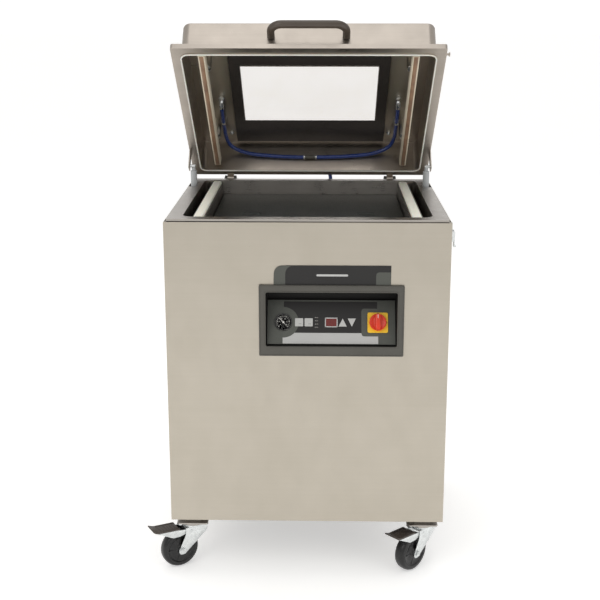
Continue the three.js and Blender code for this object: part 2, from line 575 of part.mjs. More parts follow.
{
  const roofBevel = 7;
  const boxOptions = {
    depth: LID_BOX_H + LID_FLANGE_T - roofBevel,
    bevelEnabled: true,
    bevelThickness: roofBevel,
    bevelSize: roofBevel,
    bevelOffset: -roofBevel,
    bevelSegments: 2,
    curveSegments: 3,
  };
  const boxShape = roundedRect(-HALF_BOX, HALF_BOX, LID_BOX_FRONT, LID_BOX_BACK, 20);
  const box = toSolid(new THREE.ExtrudeGeometry(boxShape, boxOptions).translate(0, 0, RIM))
    .subtract(block(-400, 400, -100, 700, RIM - 50, RIM));
  let shell = slab(-FLANGE_W / 2, FLANGE_W / 2, FLANGE_FRONT, FLANGE_BACK, RIM, RIM_TOP, 6, 2)
    .add(box)
    .subtract(slab(-HALF_IN, HALF_IN, LID_BOX_FRONT + LID_WALL, LID_BOX_BACK - LID_WALL,
      RIM - 1, ROOF_UNDER, 17, 3))
    .subtract(slab(-WINDOW.half, WINDOW.half, WINDOW.front, WINDOW.back, ROOF_UNDER - 1, BOX_TOP + 1, 3, 2));
  // Catch post for the draw latch.
  shell = shell.add(bar('x', 3, FLANGE_W / 2 - 2, FLANGE_W / 2 + 8, LATCH_Y, RIM + 7, 16))
    .add(bar('x', 5.5, FLANGE_W / 2 + 6, FLANGE_W / 2 + 9, LATCH_Y, RIM + 7, 16));
  for (const sign of [-1, 1]) {
    // Hinge arm with its knuckle round the pin.
    shell = shell
      .add(block(sign * HINGE_X - 9, sign * HINGE_X + 9, FLANGE_BACK - 6, HINGE_Y, RIM - 0.5, RIM_TOP - 3))
      .add(bar('x', KNUCKLE_R, sign * HINGE_X - 9, sign * HINGE_X + 9, HINGE_Y, HINGE_Z, 20))
      .subtract(bar('x', PIN_R + 0.4, sign * HINGE_X - 30, sign * HINGE_X + 30, HINGE_Y, HINGE_Z, 16));
    // Lug beside the top of the gas strut.
    const x0 = sign > 0 ? LUG_X : -LUG_X - LUG_T;
    const flangeX = sign * (FLANGE_W / 2 - 4);
    shell = shell
      .add(block(x0, x0 + LUG_T, STRUT_TOP.y - 12, STRUT_TOP.y + 12, STRUT_TOP.z - 9, RIM_TOP - 2))
      .add(block(Math.min(x0, flangeX), Math.max(x0 + LUG_T, flangeX),
        STRUT_TOP.y - 12, STRUT_TOP.y + 12, RIM + 3, RIM_TOP - 2));
  }
  place('lid_shell', shell, STEEL, lid);
}

place('lid_window', slab(-PANE.half, PANE.half, PANE.front, PANE.back,
  ROOF_UNDER - GAP - PANE.t, ROOF_UNDER - GAP, 6, 2), GLASS, lid);

// Gasket on the underside of the rim, just outside the lid's opening.
const GASKET_W = 3.6;
const GASKET_INSET = 0.5;
{
  const reach = GASKET_W + GASKET_INSET;
  const out = {
    x: HALF_IN + reach,
    f: LID_BOX_FRONT + LID_WALL - reach,
    b: LID_BOX_BACK - LID_WALL + reach,
  };
  const gasket = slab(-out.x, out.x, out.f, out.b, FLANGE_TOP + GAP, RIM - GAP, 20, 3)
    .subtract(slab(-out.x + GASKET_W, out.x - GASKET_W, out.f + GASKET_W, out.b - GASKET_W,
      FLANGE_TOP - 1, RIM + 1, 17, 3));
  place('lid_gasket', gasket, SILICONE, lid);
}

// Bridge handle on the lid's front wall.
const HANDLE = { half: 94, r: 10, out: 48, z: RIM_TOP + 40 };
{
  const wall = LID_BOX_FRONT - GAP;
  const y = wall - HANDLE.out;
  const corner = 26;
  const path = new THREE.CurvePath();
  const at = (x, depth) => new THREE.Vector3(x, depth, HANDLE.z);
  const { LineCurve3: Line, QuadraticBezierCurve3: Bend } = THREE;
  const end = HANDLE.half;
  const left = [at(-end, y + corner), at(-end, y), at(-end + corner, y)];
  const right = [at(end - corner, y), at(end, y), at(end, y + corner)];
  path.add(new Line(at(-end, wall), left[0]));
  path.add(new Bend(...left));
  path.add(new Line(left[2], right[0]));
  path.add(new Bend(...right));
  path.add(new Line(right[2], at(end, wall)));
  const section = new THREE.Shape();
  section.absarc(0, 0, HANDLE.r, 0, 2 * Math.PI, false);
  const options = { steps: 24, extrudePath: path, curveSegments: 5, bevelEnabled: false };
  place('lid_handle', toSolid(new THREE.ExtrudeGeometry(section, options)), BLACK, lid);
}

// Seal bars: each hangs from its carrier on two stems that slide in air cylinders.
const SEAL_FACE = FLANGE_TOP + 8; // seal bar's face above the flange, lid shut
const SEAL_H = 26;
const STEMS = [140, 450];
const STEM_R = 4.2;
const CYLINDER_R = 15;
const CARRIER = { front: 40, back: 540, t: 4 };
for (const [side, sign] of [['left', -1], ['right', 1]]) {
  const x = sign * BAR_X;
  const inner = sign * (PANE.half + 2);
  const outer = sign * (BAR_X + 22);
  let carrier = slab(Math.min(inner, outer), Math.max(inner, outer), CARRIER.front, CARRIER.back,
    ROOF_UNDER - GAP - CARRIER.t, ROOF_UNDER - GAP, 4, 2);
  const half = SEAL_W / 2;
  const front = BAR_FRONT - 2;
  const back = BAR_BACK - 4;
  let sealBar = block(x - half, x + half, front, back, SEAL_FACE + 3, SEAL_FACE + SEAL_H)
    .add(block(x - half + 1.5, x + half - 1.5, front, back, SEAL_FACE, SEAL_FACE + 4));
  for (const y of STEMS) {
    carrier = carrier.add(bar('z', CYLINDER_R, SEAL_FACE + SEAL_H + 12, ROOF_UNDER - GAP - 3, x, y, 20))
      .subtract(bar('z', STEM_R + 0.4, SEAL_FACE, ROOF_UNDER - 12, x, y, 12));
    sealBar = sealBar.add(bar('z', STEM_R, SEAL_FACE + SEAL_H - 1, ROOF_UNDER - 16, x, y, 12));
  }
  place(`bar_carrier_${side}`, carrier, STEEL, lid);
  place(`seal_bar_${side}`, sealBar, PTFE, lid);
}

// Air hose inside the lid, from one seal bar's cylinders round the back wall to the other's.
const AIR_HOSE_R = 5.5;
{
  const run = BAR_X - CYLINDER_R - AIR_HOSE_R - 2;
  const half = [
    [run, 338, ROOF_UNDER - 13],
    [run, 350, ROOF_UNDER - 21],
    [run, 400, ROOF_UNDER - 23],
    [run, 452, ROOF_UNDER - 23],
    [run - 3, 502, ROOF_UNDER - 27],
    [run - 18, 535, ROOF_UNDER - 36],
    [180, 552, ROOF_UNDER - 47],
    [110, 555.5, ROOF_UNDER - 54],
    [40, 556.5, ROOF_UNDER - 57],
  ];
  const route = [...half.map(([x, y, z]) => [-x, y, z]), ...[...half].reverse()];
  place('lid_air_hose', pipe(route, AIR_HOSE_R, 48, 6), HOSE_BLUE, lid);
}

// ---------------------------------------------------------------- hinge brackets
for (const [side, sign] of [['left', -1], ['right', 1]]) {
  const x = sign * HINGE_X;
  let bracket = block(x - 17, x + 17, FLANGE_BACK + 8, CAB_D - SHEET - 1, RAIL_TOP + GAP, CAB_TOP + 2)
    .subtract(block(x - 9.6, x + 9.6, FLANGE_BACK, HINGE_Y + 10.5, RAIL_TOP, CAB_TOP + 3));
  for (const cheek of [-1, 1]) {
    const from = x + cheek * 9.6;
    const to = x + cheek * 17;
    const x0 = Math.min(from, to);
    const x1 = Math.max(from, to);
    bracket = bracket.add(block(x0, x1, FLANGE_BACK + GAP + 1, CAB_D - 8, CAB_TOP + 1, HINGE_Z))
      .add(bar('x', 8, x0, x1, HINGE_Y, HINGE_Z, 20));
  }
  bracket = bracket.add(bar('x', PIN_R, x - 17, x + 17, HINGE_Y, HINGE_Z, 16));
  place(`hinge_bracket_${side}`, bracket, BLACK);
}

// ---------------------------------------------------------------- gas struts
// Rod down, tube up. The lower eye turns on a stud on the side panel; the tube slides on
// the rod, and its upper stud ends just short of the lid's lug.
const open = -LID_OPEN * RAD;
const fromHinge = { y: STRUT_TOP.y - HINGE_Y, z: STRUT_TOP.z - HINGE_Z };
const STRUT_HEAD = {
  y: HINGE_Y + fromHinge.y * Math.cos(open) - fromHinge.z * Math.sin(open),
  z: HINGE_Z + fromHinge.y * Math.sin(open) + fromHinge.z * Math.cos(open),
};
const STRUT_LENGTH = Math.hypot(STRUT_HEAD.y - STRUT_FOOT.y, STRUT_HEAD.z - STRUT_FOOT.z);
const STRUT_LEAN = Math.atan2(STRUT_FOOT.y - STRUT_HEAD.y, STRUT_HEAD.z - STRUT_FOOT.z);
const TUBE_L = 178;
for (const [side, sign] of [['left', -1], ['right', 1]]) {
  const strut = new THREE.Group();
  strut.position.set(sign * STRUT_X, STRUT_FOOT.y, STRUT_FOOT.z);
  strut.rotation.x = STRUT_LEAN;
  machine.add(strut);
  const studOut = sign * (LUG_X - STRUT_X - GAP);
  const tube = bar('z', STRUT_TUBE_R, STRUT_LENGTH - TUBE_L, STRUT_LENGTH - 12, 0, 0, 20)
    .add(bar('z', 5, STRUT_LENGTH - 13, STRUT_LENGTH, 0, 0, 16))
    .add(bar('x', 6, -5, 5, 0, STRUT_LENGTH, 16))
    .add(bar('x', STUD_R, Math.min(0, studOut), Math.max(0, studOut), 0, STRUT_LENGTH, 12))
    .subtract(bar('z', 4.6, STRUT_LENGTH - TUBE_L - 1, STRUT_LENGTH - 24, 0, 0, 16));
  place(`strut_tube_${side}`, tube, ZINC, strut);
  const rod = bar('z', 4.2, 8, STRUT_LENGTH - 118, 0, 0, 16)
    .add(bar('x', 6, -5, 5, 0, 0, 16).add(bar('z', 4.5, 0, 12, 0, 0, 16)))
    .subtract(bar('x', 3.4, -6, 6, 0, 0, 12));
  place(`strut_rod_${side}`, rod, ZINC, strut);
}

// ---------------------------------------------------------------- casters
// Each caster is written with its swivel axis at the origin and its trail along +X.
const WHEEL_SIDES = 20;
const FLAT = Math.cos(Math.PI / WHEEL_SIDES); // the tread's flats touch the wheel's circle
const AXLE_Z = WHEEL_R;
const CHEEK_IN = WHEEL_W / 2 + 3;
const CHEEK_T = 3;
const HEAD_Z = 106;
const PEDAL_PIVOT = { x: 16, z: 99 };
const PEDAL_HALF_W = 21;
const PEDAL_CAP_FROM = 49;
const CASTERS = [
  ['front_left', -CASTER_X, CASTER_FRONT, 211, true],
  ['front_right', CASTER_X, CASTER_FRONT, 225, true],
  ['rear_left', -CASTER_X, CASTER_BACK, 35, false],
  ['rear_right', CASTER_X, CASTER_BACK, 20, false],
];

function casterWheel() {
  const half = WHEEL_W / 2;
  const profile = [
    [0, -half + 2], [36, -half + 4], [38, -half], [WHEEL_R - 3, -half],
    [WHEEL_R, -half + 3], [WHEEL_R, half - 3], [WHEEL_R - 3, half], [38, half],
    [36, half - 4], [0, half - 2],
  ].map(([r, w]) => new THREE.Vector2(r / FLAT, w));
  return toSolid(new THREE.LatheGeometry(profile, WHEEL_SIDES).rotateY(Math.PI / WHEEL_SIDES))
    .subtract(bar('y', 5.4, -half - 1, half + 1, 0, 0, 16))
    .translate([CASTER_OFFSET, 0, AXLE_Z]);
}

function casterFork() {
  const cheekOutline = [[-30, HEAD_Z + 3], [-32, 92], [CASTER_OFFSET - 12, AXLE_Z - 8],
    [CASTER_OFFSET - 6, AXLE_Z - 13], [CASTER_OFFSET + 6, AXLE_Z - 13], [CASTER_OFFSET + 11, AXLE_Z - 4],
    [30, 94], [30, HEAD_Z + 3]];
  const cheek = (w0) => {
    const shape = new THREE.Shape(cheekOutline.map(([x, z]) => new THREE.Vector2(x, z)));
    const geometry = new THREE.ExtrudeGeometry(shape, { depth: CHEEK_T, bevelEnabled: false });
    return toSolid(geometry.rotateX(Math.PI / 2).translate(0, w0 + CHEEK_T, 0));
  };
  return block(-30, 30, -CHEEK_IN - CHEEK_T, CHEEK_IN + CHEEK_T, HEAD_Z, HEAD_Z + 4)
    .add(cheek(CHEEK_IN))
    .add(cheek(-CHEEK_IN - CHEEK_T))
    .add(bar('z', 31, HEAD_Z + 3, CASTER_HEAD_TOP - GAP, 0, 0, 20))
    .add(bar('y', 5, -CHEEK_IN - CHEEK_T - 1, CHEEK_IN + CHEEK_T + 1, CASTER_OFFSET, AXLE_Z, 16))
    .add(bar('y', 9, CHEEK_IN + CHEEK_T - 1, CHEEK_IN + CHEEK_T + 5, CASTER_OFFSET, AXLE_Z, 6))
    .add(bar('y', 9, -CHEEK_IN - CHEEK_T - 5, -CHEEK_IN - CHEEK_T + 1, CASTER_OFFSET, AXLE_Z, 6));
}

// Foot pedal over the wheel on two arms between the fork's cheeks, tipped up when free.
function casterPedal() {
  const arm = CHEEK_IN - GAP;
  const outline = [[10, 94], [22, 94], [52, 106], [108, 110], [122, 116],
    [120, 121], [106, 115], [50, 112.5], [32, 105], [10, 104]];
  const shape = new THREE.Shape(outline.map(([x, z]) => new THREE.Vector2(x, z)));
  const across = (half) => {
    const geometry = new THREE.ExtrudeGeometry(shape, { depth: 2 * half, bevelEnabled: false });
    return toSolid(geometry.rotateX(Math.PI / 2).translate(0, half, 0));
  };
  const body = across(arm);
  const above = { from: 80, to: 130 };
  const cap = across(PEDAL_HALF_W)
    .subtract(block(0, PEDAL_CAP_FROM, -30, 30, above.from, above.to));
  // The middle is open over the wheel, ahead of the tread plate.
  return body
    .subtract(block(0, PEDAL_CAP_FROM - 3, -arm + 2.4, arm - 2.4, above.from, above.to))
    .add(bar('y', 2.5, -arm, arm, PEDAL_PIVOT.x, PEDAL_PIVOT.z, 12))
    .add(cap);
}

for (const [corner, x, y, trail, braked] of CASTERS) {
  const caster = new THREE.Group();
  caster.position.set(x, y, 0);
  caster.rotation.z = trail * RAD;
  machine.add(caster);
  place(`caster_fork_${corner}`, casterFork(), ZINC, caster);
  place(`caster_wheel_${corner}`, casterWheel(), RUBBER, caster);
  if (braked) place(`brake_pedal_${corner}`, casterPedal(), BLACK, caster);
}

// The origin goes to the middle of the footprint, on the floor.
const bounds = new THREE.Box3().setFromObject(machine, true);
const tenth = (value) => Math.round(value * 10) / 10;
machine.position.set(
  -tenth((bounds.min.x + bounds.max.x) / 2),
  -tenth((bounds.min.y + bounds.max.y) / 2),
  0,
);

export default machine;
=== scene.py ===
import json
import math

import bmesh
import bpy
from mathutils import Matrix, Vector


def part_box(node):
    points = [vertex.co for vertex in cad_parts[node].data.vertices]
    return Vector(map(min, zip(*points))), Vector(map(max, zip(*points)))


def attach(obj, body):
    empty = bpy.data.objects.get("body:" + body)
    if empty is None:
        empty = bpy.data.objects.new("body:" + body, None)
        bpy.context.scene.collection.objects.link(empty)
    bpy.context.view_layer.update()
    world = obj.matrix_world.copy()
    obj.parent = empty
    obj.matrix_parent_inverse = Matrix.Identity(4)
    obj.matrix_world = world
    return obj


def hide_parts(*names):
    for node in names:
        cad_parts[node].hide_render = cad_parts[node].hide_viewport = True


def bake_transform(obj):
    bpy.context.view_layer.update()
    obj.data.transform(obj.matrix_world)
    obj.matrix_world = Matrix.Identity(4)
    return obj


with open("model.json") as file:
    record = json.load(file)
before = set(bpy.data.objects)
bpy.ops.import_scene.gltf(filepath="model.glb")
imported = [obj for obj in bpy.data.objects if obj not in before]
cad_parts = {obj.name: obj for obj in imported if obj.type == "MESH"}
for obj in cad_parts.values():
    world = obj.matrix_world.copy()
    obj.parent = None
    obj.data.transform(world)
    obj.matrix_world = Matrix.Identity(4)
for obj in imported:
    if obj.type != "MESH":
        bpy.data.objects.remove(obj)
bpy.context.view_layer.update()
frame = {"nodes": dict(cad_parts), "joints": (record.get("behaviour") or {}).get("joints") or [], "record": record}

NODES = frame["nodes"]
SLOT_OF = {part["node"]: part["material_slot"] for part in frame["record"]["subparts"]}
JOINTS = {joint["name"]: joint for joint in frame["joints"]}
MM = 0.001
CORNERS = ("front_left", "front_right", "rear_left", "rear_right")
SIDES = (("left", -1), ("right", 1))


# ------ frames
# Every piece is written in millimetres in one of these frames, and its mesh is then moved
# into the scene, which is in metres. ROOT has X = 0 in the middle of the cabinet, Y = 0 at
# its front face and Z = 0 on the floor.
def joint_place(name):
    return Vector(JOINTS[name]["pos_m"])


def size_of(node, to_local):
    """A node's lowest and highest corner in a frame's millimetres, for a node square to it."""
    inverse = to_local.inverted()
    points = [inverse @ vertex.co for vertex in NODES[node].data.vertices]
    low = Vector([min(point[axis] for point in points) for axis in range(3)])
    high = Vector([max(point[axis] for point in points) for axis in range(3)])
    return low, high


front_low, front_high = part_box("front_panel")
SCALE = Matrix.Scale(MM, 4)
ROOT = Matrix.Translation(((front_low.x + front_high.x) / 2, front_low.y, 0)) @ SCALE

HINGE = joint_place("lid_hinge")
LID_OPEN = math.radians(JOINTS["lid_hinge"]["range_deg"][1])
# The lid's pieces are written as they lie with the lid shut.
LID = (Matrix.Translation(HINGE) @ Matrix.Rotation(-LID_OPEN, 4, "X")
       @ Matrix.Translation(-HINGE) @ ROOT)

# The fascia's frame: X to the right, Z up the slope, Y into the machine.
press = Vector(JOINTS["vacuum_key_press"]["axis"])
FASCIA_TILT = math.atan2(-press.z, press.y)
GAUGE_U = -118
CONTROL_LINE = 54
FASCIA = (Matrix.Translation(joint_place("gauge_needle_turn"))
          @ Matrix.Rotation(-FASCIA_TILT, 4, "X") @ SCALE
          @ Matrix.Translation((-GAUGE_U, 0, -CONTROL_LINE)))


def caster_frame(corner):
    """X along the trail, Z up, with the swivel axis at the origin on the floor."""
    swivel = joint_place(f"swivel_{corner}")
    axle = joint_place(f"wheel_{corner}_roll")
    trail = math.atan2(axle.y - swivel.y, axle.x - swivel.x)
    return Matrix.Translation((swivel.x, swivel.y, 0)) @ Matrix.Rotation(trail, 4, "Z") @ SCALE


def strut_frame(side):
    """Z up the strut from its lower pivot."""
    slide = Vector(JOINTS[f"strut_{side}_slide"]["axis"])
    lean = math.atan2(-slide.y, slide.z)
    place = Matrix.Translation(joint_place(f"strut_{side}_swing"))
    return place @ Matrix.Rotation(lean, 4, "X") @ SCALE


# ------ camera
# It looks down on the machine at the photographer's angle. The pitch and the small shift frame it.
CAMERA_PLACE = ROOT @ Vector((34, -2500, 1463))
CAMERA_PITCH = math.radians(13.08)
CAMERA_YAW = 0.0205
CAMERA_LENS = 64.41
CAMERA_SHIFT = -0.092
camera_data = bpy.data.cameras.new("camera")
camera_data.sensor_width = 36
camera_data.lens = CAMERA_LENS
camera_data.shift_y = CAMERA_SHIFT
camera = bpy.data.objects.new("camera", camera_data)
camera.location = CAMERA_PLACE
camera.rotation_euler = (math.pi / 2 - CAMERA_PITCH, 0, CAMERA_YAW)
bpy.context.scene.collection.objects.link(camera)
bpy.context.scene.camera = camera
bpy.context.scene.view_settings.view_transform = "Standard"


# ------ finishes
def srgb(red, green, blue):
    """A colour given as 0 to 255 on a screen, as the linear values a shader takes."""
    def linear(value):
        share = value / 255
        return share / 12.92 if share <= 0.04045 else ((share + 0.055) / 1.055) ** 2.4
    return (linear(red), linear(green), linear(blue), 1)


class Look:
    """One material: a principled shader and the nodes that feed it."""

    def __init__(self, name, roughness, metallic=0.0, **sockets):
        self.material = bpy.data.materials.new(name)
        self.material.use_nodes = True
        self.tree = self.material.node_tree
        self.tree.nodes.clear()
        self.shader = self.node("ShaderNodeBsdfPrincipled")
        output = self.node("ShaderNodeOutputMaterial")
        self.tree.links.new(self.shader.outputs["BSDF"], output.inputs["Surface"])
        self.set("Roughness", roughness)
        self.set("Metallic", metallic)
        for name_, value in sockets.items():
            self.set(name_.replace("_", " "), value)
        self.where = self.node("ShaderNodeTexCoord").outputs["Object"]
        self.relief = None

    def node(self, kind, inputs=None, **settings):
        made = self.tree.nodes.new(kind)
        for key, value in settings.items():
            setattr(made, key, value)
        for key, value in (inputs or {}).items():
            self.feed(made.inputs[key], value)
        return made

    def feed(self, socket, value):
        if isinstance(value, bpy.types.NodeSocket):
            self.tree.links.new(value, socket)
        else:
            socket.default_value = value

    def set(self, name, value):
        self.feed(self.shader.inputs[name], value)

    def noise(self, scale, detail=3.0, stretch=(1, 1, 1), roughness=0.55):
        """Noise of `scale` features to the metre, drawn out along an axis by a small stretch."""
        place = self.node("ShaderNodeMapping", {"Vector": self.where, "Scale": stretch})
        made = self.node("ShaderNodeTexNoise", {"Vector": place.outputs["Vector"], "Scale": scale,
                                                "Detail": detail, "Roughness": roughness})
        return made.outputs["Fac"]

    def cells(self, scale, stretch=(1, 1, 1)):
        place = self.node("ShaderNodeMapping", {"Vector": self.where, "Scale": stretch})
        made = self.node("ShaderNodeTexVoronoi", {"Vector": place.outputs["Vector"], "Scale": scale})
        return made.outputs["Distance"]

    def wave(self, scale, direction, distortion=0.0):
        made = self.node("ShaderNodeTexWave", {"Vector": self.where, "Scale": scale,
                                               "Distortion": distortion},
                         bands_direction=direction)
        return made.outputs["Fac"]

    def span(self, value, low, high, start=0.3, end=0.7):
        made = self.node("ShaderNodeMapRange", {"Value": value, "From Min": start, "From Max": end,
                                                "To Min": low, "To Max": high})
        return made.outputs["Result"]

    def math(self, operation, a, b):
        made = self.node("ShaderNodeMath", {0: a, 1: b}, operation=operation)
        return made.outputs["Value"]

    def tint(self, share, first, second):
        made = self.node("ShaderNodeMix", {0: share, 6: first, 7: second}, data_type="RGBA")
        return made.outputs[2]

    def drift(self, scale, first, second, detail=3):
        """Two colours mixed by soft clouds."""
        return self.tint(self.span(self.noise(scale, detail), 0, 1), first, second)

    def bump(self, height, distance, strength=1.0):
        inputs = {"Height": height, "Distance": distance * MM, "Strength": strength}
        if self.relief is not None:
            inputs["Normal"] = self.relief
        self.relief = self.node("ShaderNodeBump", inputs).outputs["Normal"]
        self.set("Normal", self.relief)

    def edges(self, radius):
        """How close the surface is to a sharp outer edge, from 0 to 1."""
        soft = self.node("ShaderNodeBevel", {"Radius": radius * MM}, samples=4).outputs["Normal"]
        hard = self.node("ShaderNodeNewGeometry").outputs["Normal"]
        along = self.node("ShaderNodeVectorMath", {0: soft, 1: hard}, operation="DOT_PRODUCT")
        return self.span(along.outputs["Value"], 1, 0, 0.82, 0.99)


GRAIN = {"x": (0.012, 1, 1), "y": (1, 0.012, 1)}


def scaled(color, factor, lift=0.0):
    """A colour made lighter or darker."""
    return tuple(min(1.0, value * factor + lift) for value in color[:3]) + (1,)


def brushed(name, color, dark, roughness=0.36, grain="x"):
    """Brushed sheet: fine drawn-out lines, faint cloudy mottling and brighter worn edges."""
    look = Look(name, roughness, metallic=1.0)
    lines = look.noise(1100, 2, GRAIN[grain])
    bands = look.noise(160, 3, GRAIN[grain])
    clouds = look.noise(7, 4)
    smears = look.noise(26, 3, (1, 1, 0.5))
    streaks = look.math("ADD", look.math("MULTIPLY", lines, 0.3), look.math("MULTIPLY", bands, 0.2))
    mottled = look.math("ADD", streaks, look.math("MULTIPLY", clouds, 0.5))
    base = look.tint(look.span(mottled, 0, 1), dark, color)
    worn = look.math("MULTIPLY", look.edges(2.2), look.span(smears, 0.2, 0.8))
    look.set("Base Color", look.tint(worn, base, scaled(color, 1.25)))
    gloss = look.span(lines, roughness - 0.04, roughness + 0.04)
    look.set("Roughness", look.math("ADD", look.span(smears, -0.05, 0.05), gloss))
    look.bump(lines, 0.05)
    look.bump(clouds, 0.5, 0.25)
    return look.material


def plated(name, color, roughness=0.24, relief=0.08):
    """Zinc or chrome plate: bright, with small dull patches and faint handling marks."""
    look = Look(name, roughness, metallic=1.0)
    patches = look.noise(90, 4)
    specks = look.noise(900, 2)
    base = look.tint(look.span(patches, 0, 0.6), color, scaled(color, 0.72))
    look.set("Base Color", look.tint(look.edges(1.2), base, scaled(color, 1.2)))
    look.set("Roughness", look.span(patches, roughness - 0.06, roughness + 0.14))
    look.bump(specks, relief)
    return look.material


def moulded(name, color, roughness=0.45, grain=650, relief=0.06, shade=0.75, **sockets):
    """Moulded plastic or rubber: fine eroded grain, slight colour drift, polished edges."""
    look = Look(name, roughness, **sockets)
    fine = look.noise(grain, 3)
    drift = look.noise(18, 3)
    base = look.tint(look.span(drift, 0, 1), scaled(color, shade), color)
    rubbed = look.math("MULTIPLY", look.edges(1.5), look.span(drift, 0.2, 0.6))
    look.set("Base Color", look.tint(rubbed, base, scaled(color, 1.5, 0.01)))
    look.set("Roughness", look.span(fine, roughness - 0.06, roughness + 0.1))
    look.bump(fine, relief)
    return look.material


def painted(name, color, roughness=0.4, relief=0.25):
    """Paint with orange peel and chips to lighter metal at the edges."""
    look = Look(name, roughness, Coat_Weight=0.2, Coat_Roughness=0.25)
    peel = look.noise(420, 2)
    chips = look.noise(240, 4)
    base = look.drift(12, scaled(color, 0.8), color)
    chipped = look.math("MULTIPLY", look.edges(1.6), look.span(chips, 0, 1, 0.5, 0.6))
    look.set("Base Color", look.tint(chipped, base, srgb(150, 148, 144)))
    look.set("Roughness", look.span(peel, roughness - 0.05, roughness + 0.12))
    look.bump(peel, relief, 0.5)
    return look.material


def cast_paint():
    """Paint over rough sand-cast iron."""
    look = Look("cast_paint", 0.5)
    look.set("Base Color", look.drift(15, srgb(62, 80, 88), srgb(84, 104, 112)))
    look.bump(look.cells(700), 0.3, 0.7)
    return look.material


def woven_tape():
    """Brown glass cloth coated with PTFE, over the heating wire."""
    look = Look("ptfe_tape", 0.42, Coat_Weight=0.3, Coat_Roughness=0.3)
    weft = look.wave(320, "Y")
    warp = look.wave(320, "X")
    cloth = look.math("MULTIPLY", weft, warp)
    scorch = look.noise(30, 4, (1, 0.3, 1))
    base = look.tint(look.span(scorch, 0, 1), srgb(118, 88, 66), srgb(158, 124, 96))
    look.set("Base Color", look.tint(look.span(cloth, 0, 0.35, 0, 1), base, srgb(96, 70, 52)))
    look.bump(cloth, 0.12)
    return look.material


def ribbed_hose(color):
    """Dusty reinforced hose with moulded ribs."""
    look = Look("ribbed_hose", 0.5, Coat_Weight=0.15, Coat_Roughness=0.3)
    dust = look.noise(60, 4)
    look.set("Base Color", look.tint(look.span(dust, 0, 0.5), color, scaled(color, 1.9, 0.01)))
    look.bump(look.wave(38, "Z"), 1.2, 0.6)
    return look.material


def clear_pane():
    """Thick clear acrylic with faint rubbed haze."""
    look = Look("acrylic", 0.04, IOR=1.49, Transmission_Weight=1.0)
    haze = look.noise(9, 5)
    scratch = look.noise(260, 2, (0.02, 1, 1))
    look.set("Base Color", look.tint(look.span(haze, 0, 1), srgb(247, 244, 241), srgb(252, 250, 248)))
    look.set("Roughness", look.span(haze, 0.02, 0.06))
    look.bump(scratch, 0.01, 0.3)
    return look.material


def laminations():
    """Stacked sheet iron with dark lines between the sheets."""
    look = Look("laminations", 0.45, metallic=0.6)
    layers = look.wave(260, "Y", 0.4)
    base = look.drift(40, srgb(62, 58, 56), srgb(92, 86, 82))
    look.set("Base Color", look.tint(look.span(layers, 0, 0.5), base, srgb(34, 32, 31)))
    look.bump(layers, 0.4, 0.6)
    return look.material


def lit_filter():
    """Dark red display filter."""
    look = Look("display_filter", 0.16, Coat_Weight=0.5, Coat_Roughness=0.06,
                Emission_Strength=0.25)
    look.set("Base Color", look.drift(200, srgb(74, 18, 14), srgb(92, 26, 18), 2))
    look.set("Emission Color", srgb(120, 12, 12))
    look.bump(look.noise(200, 2), 0.02)
    return look.material


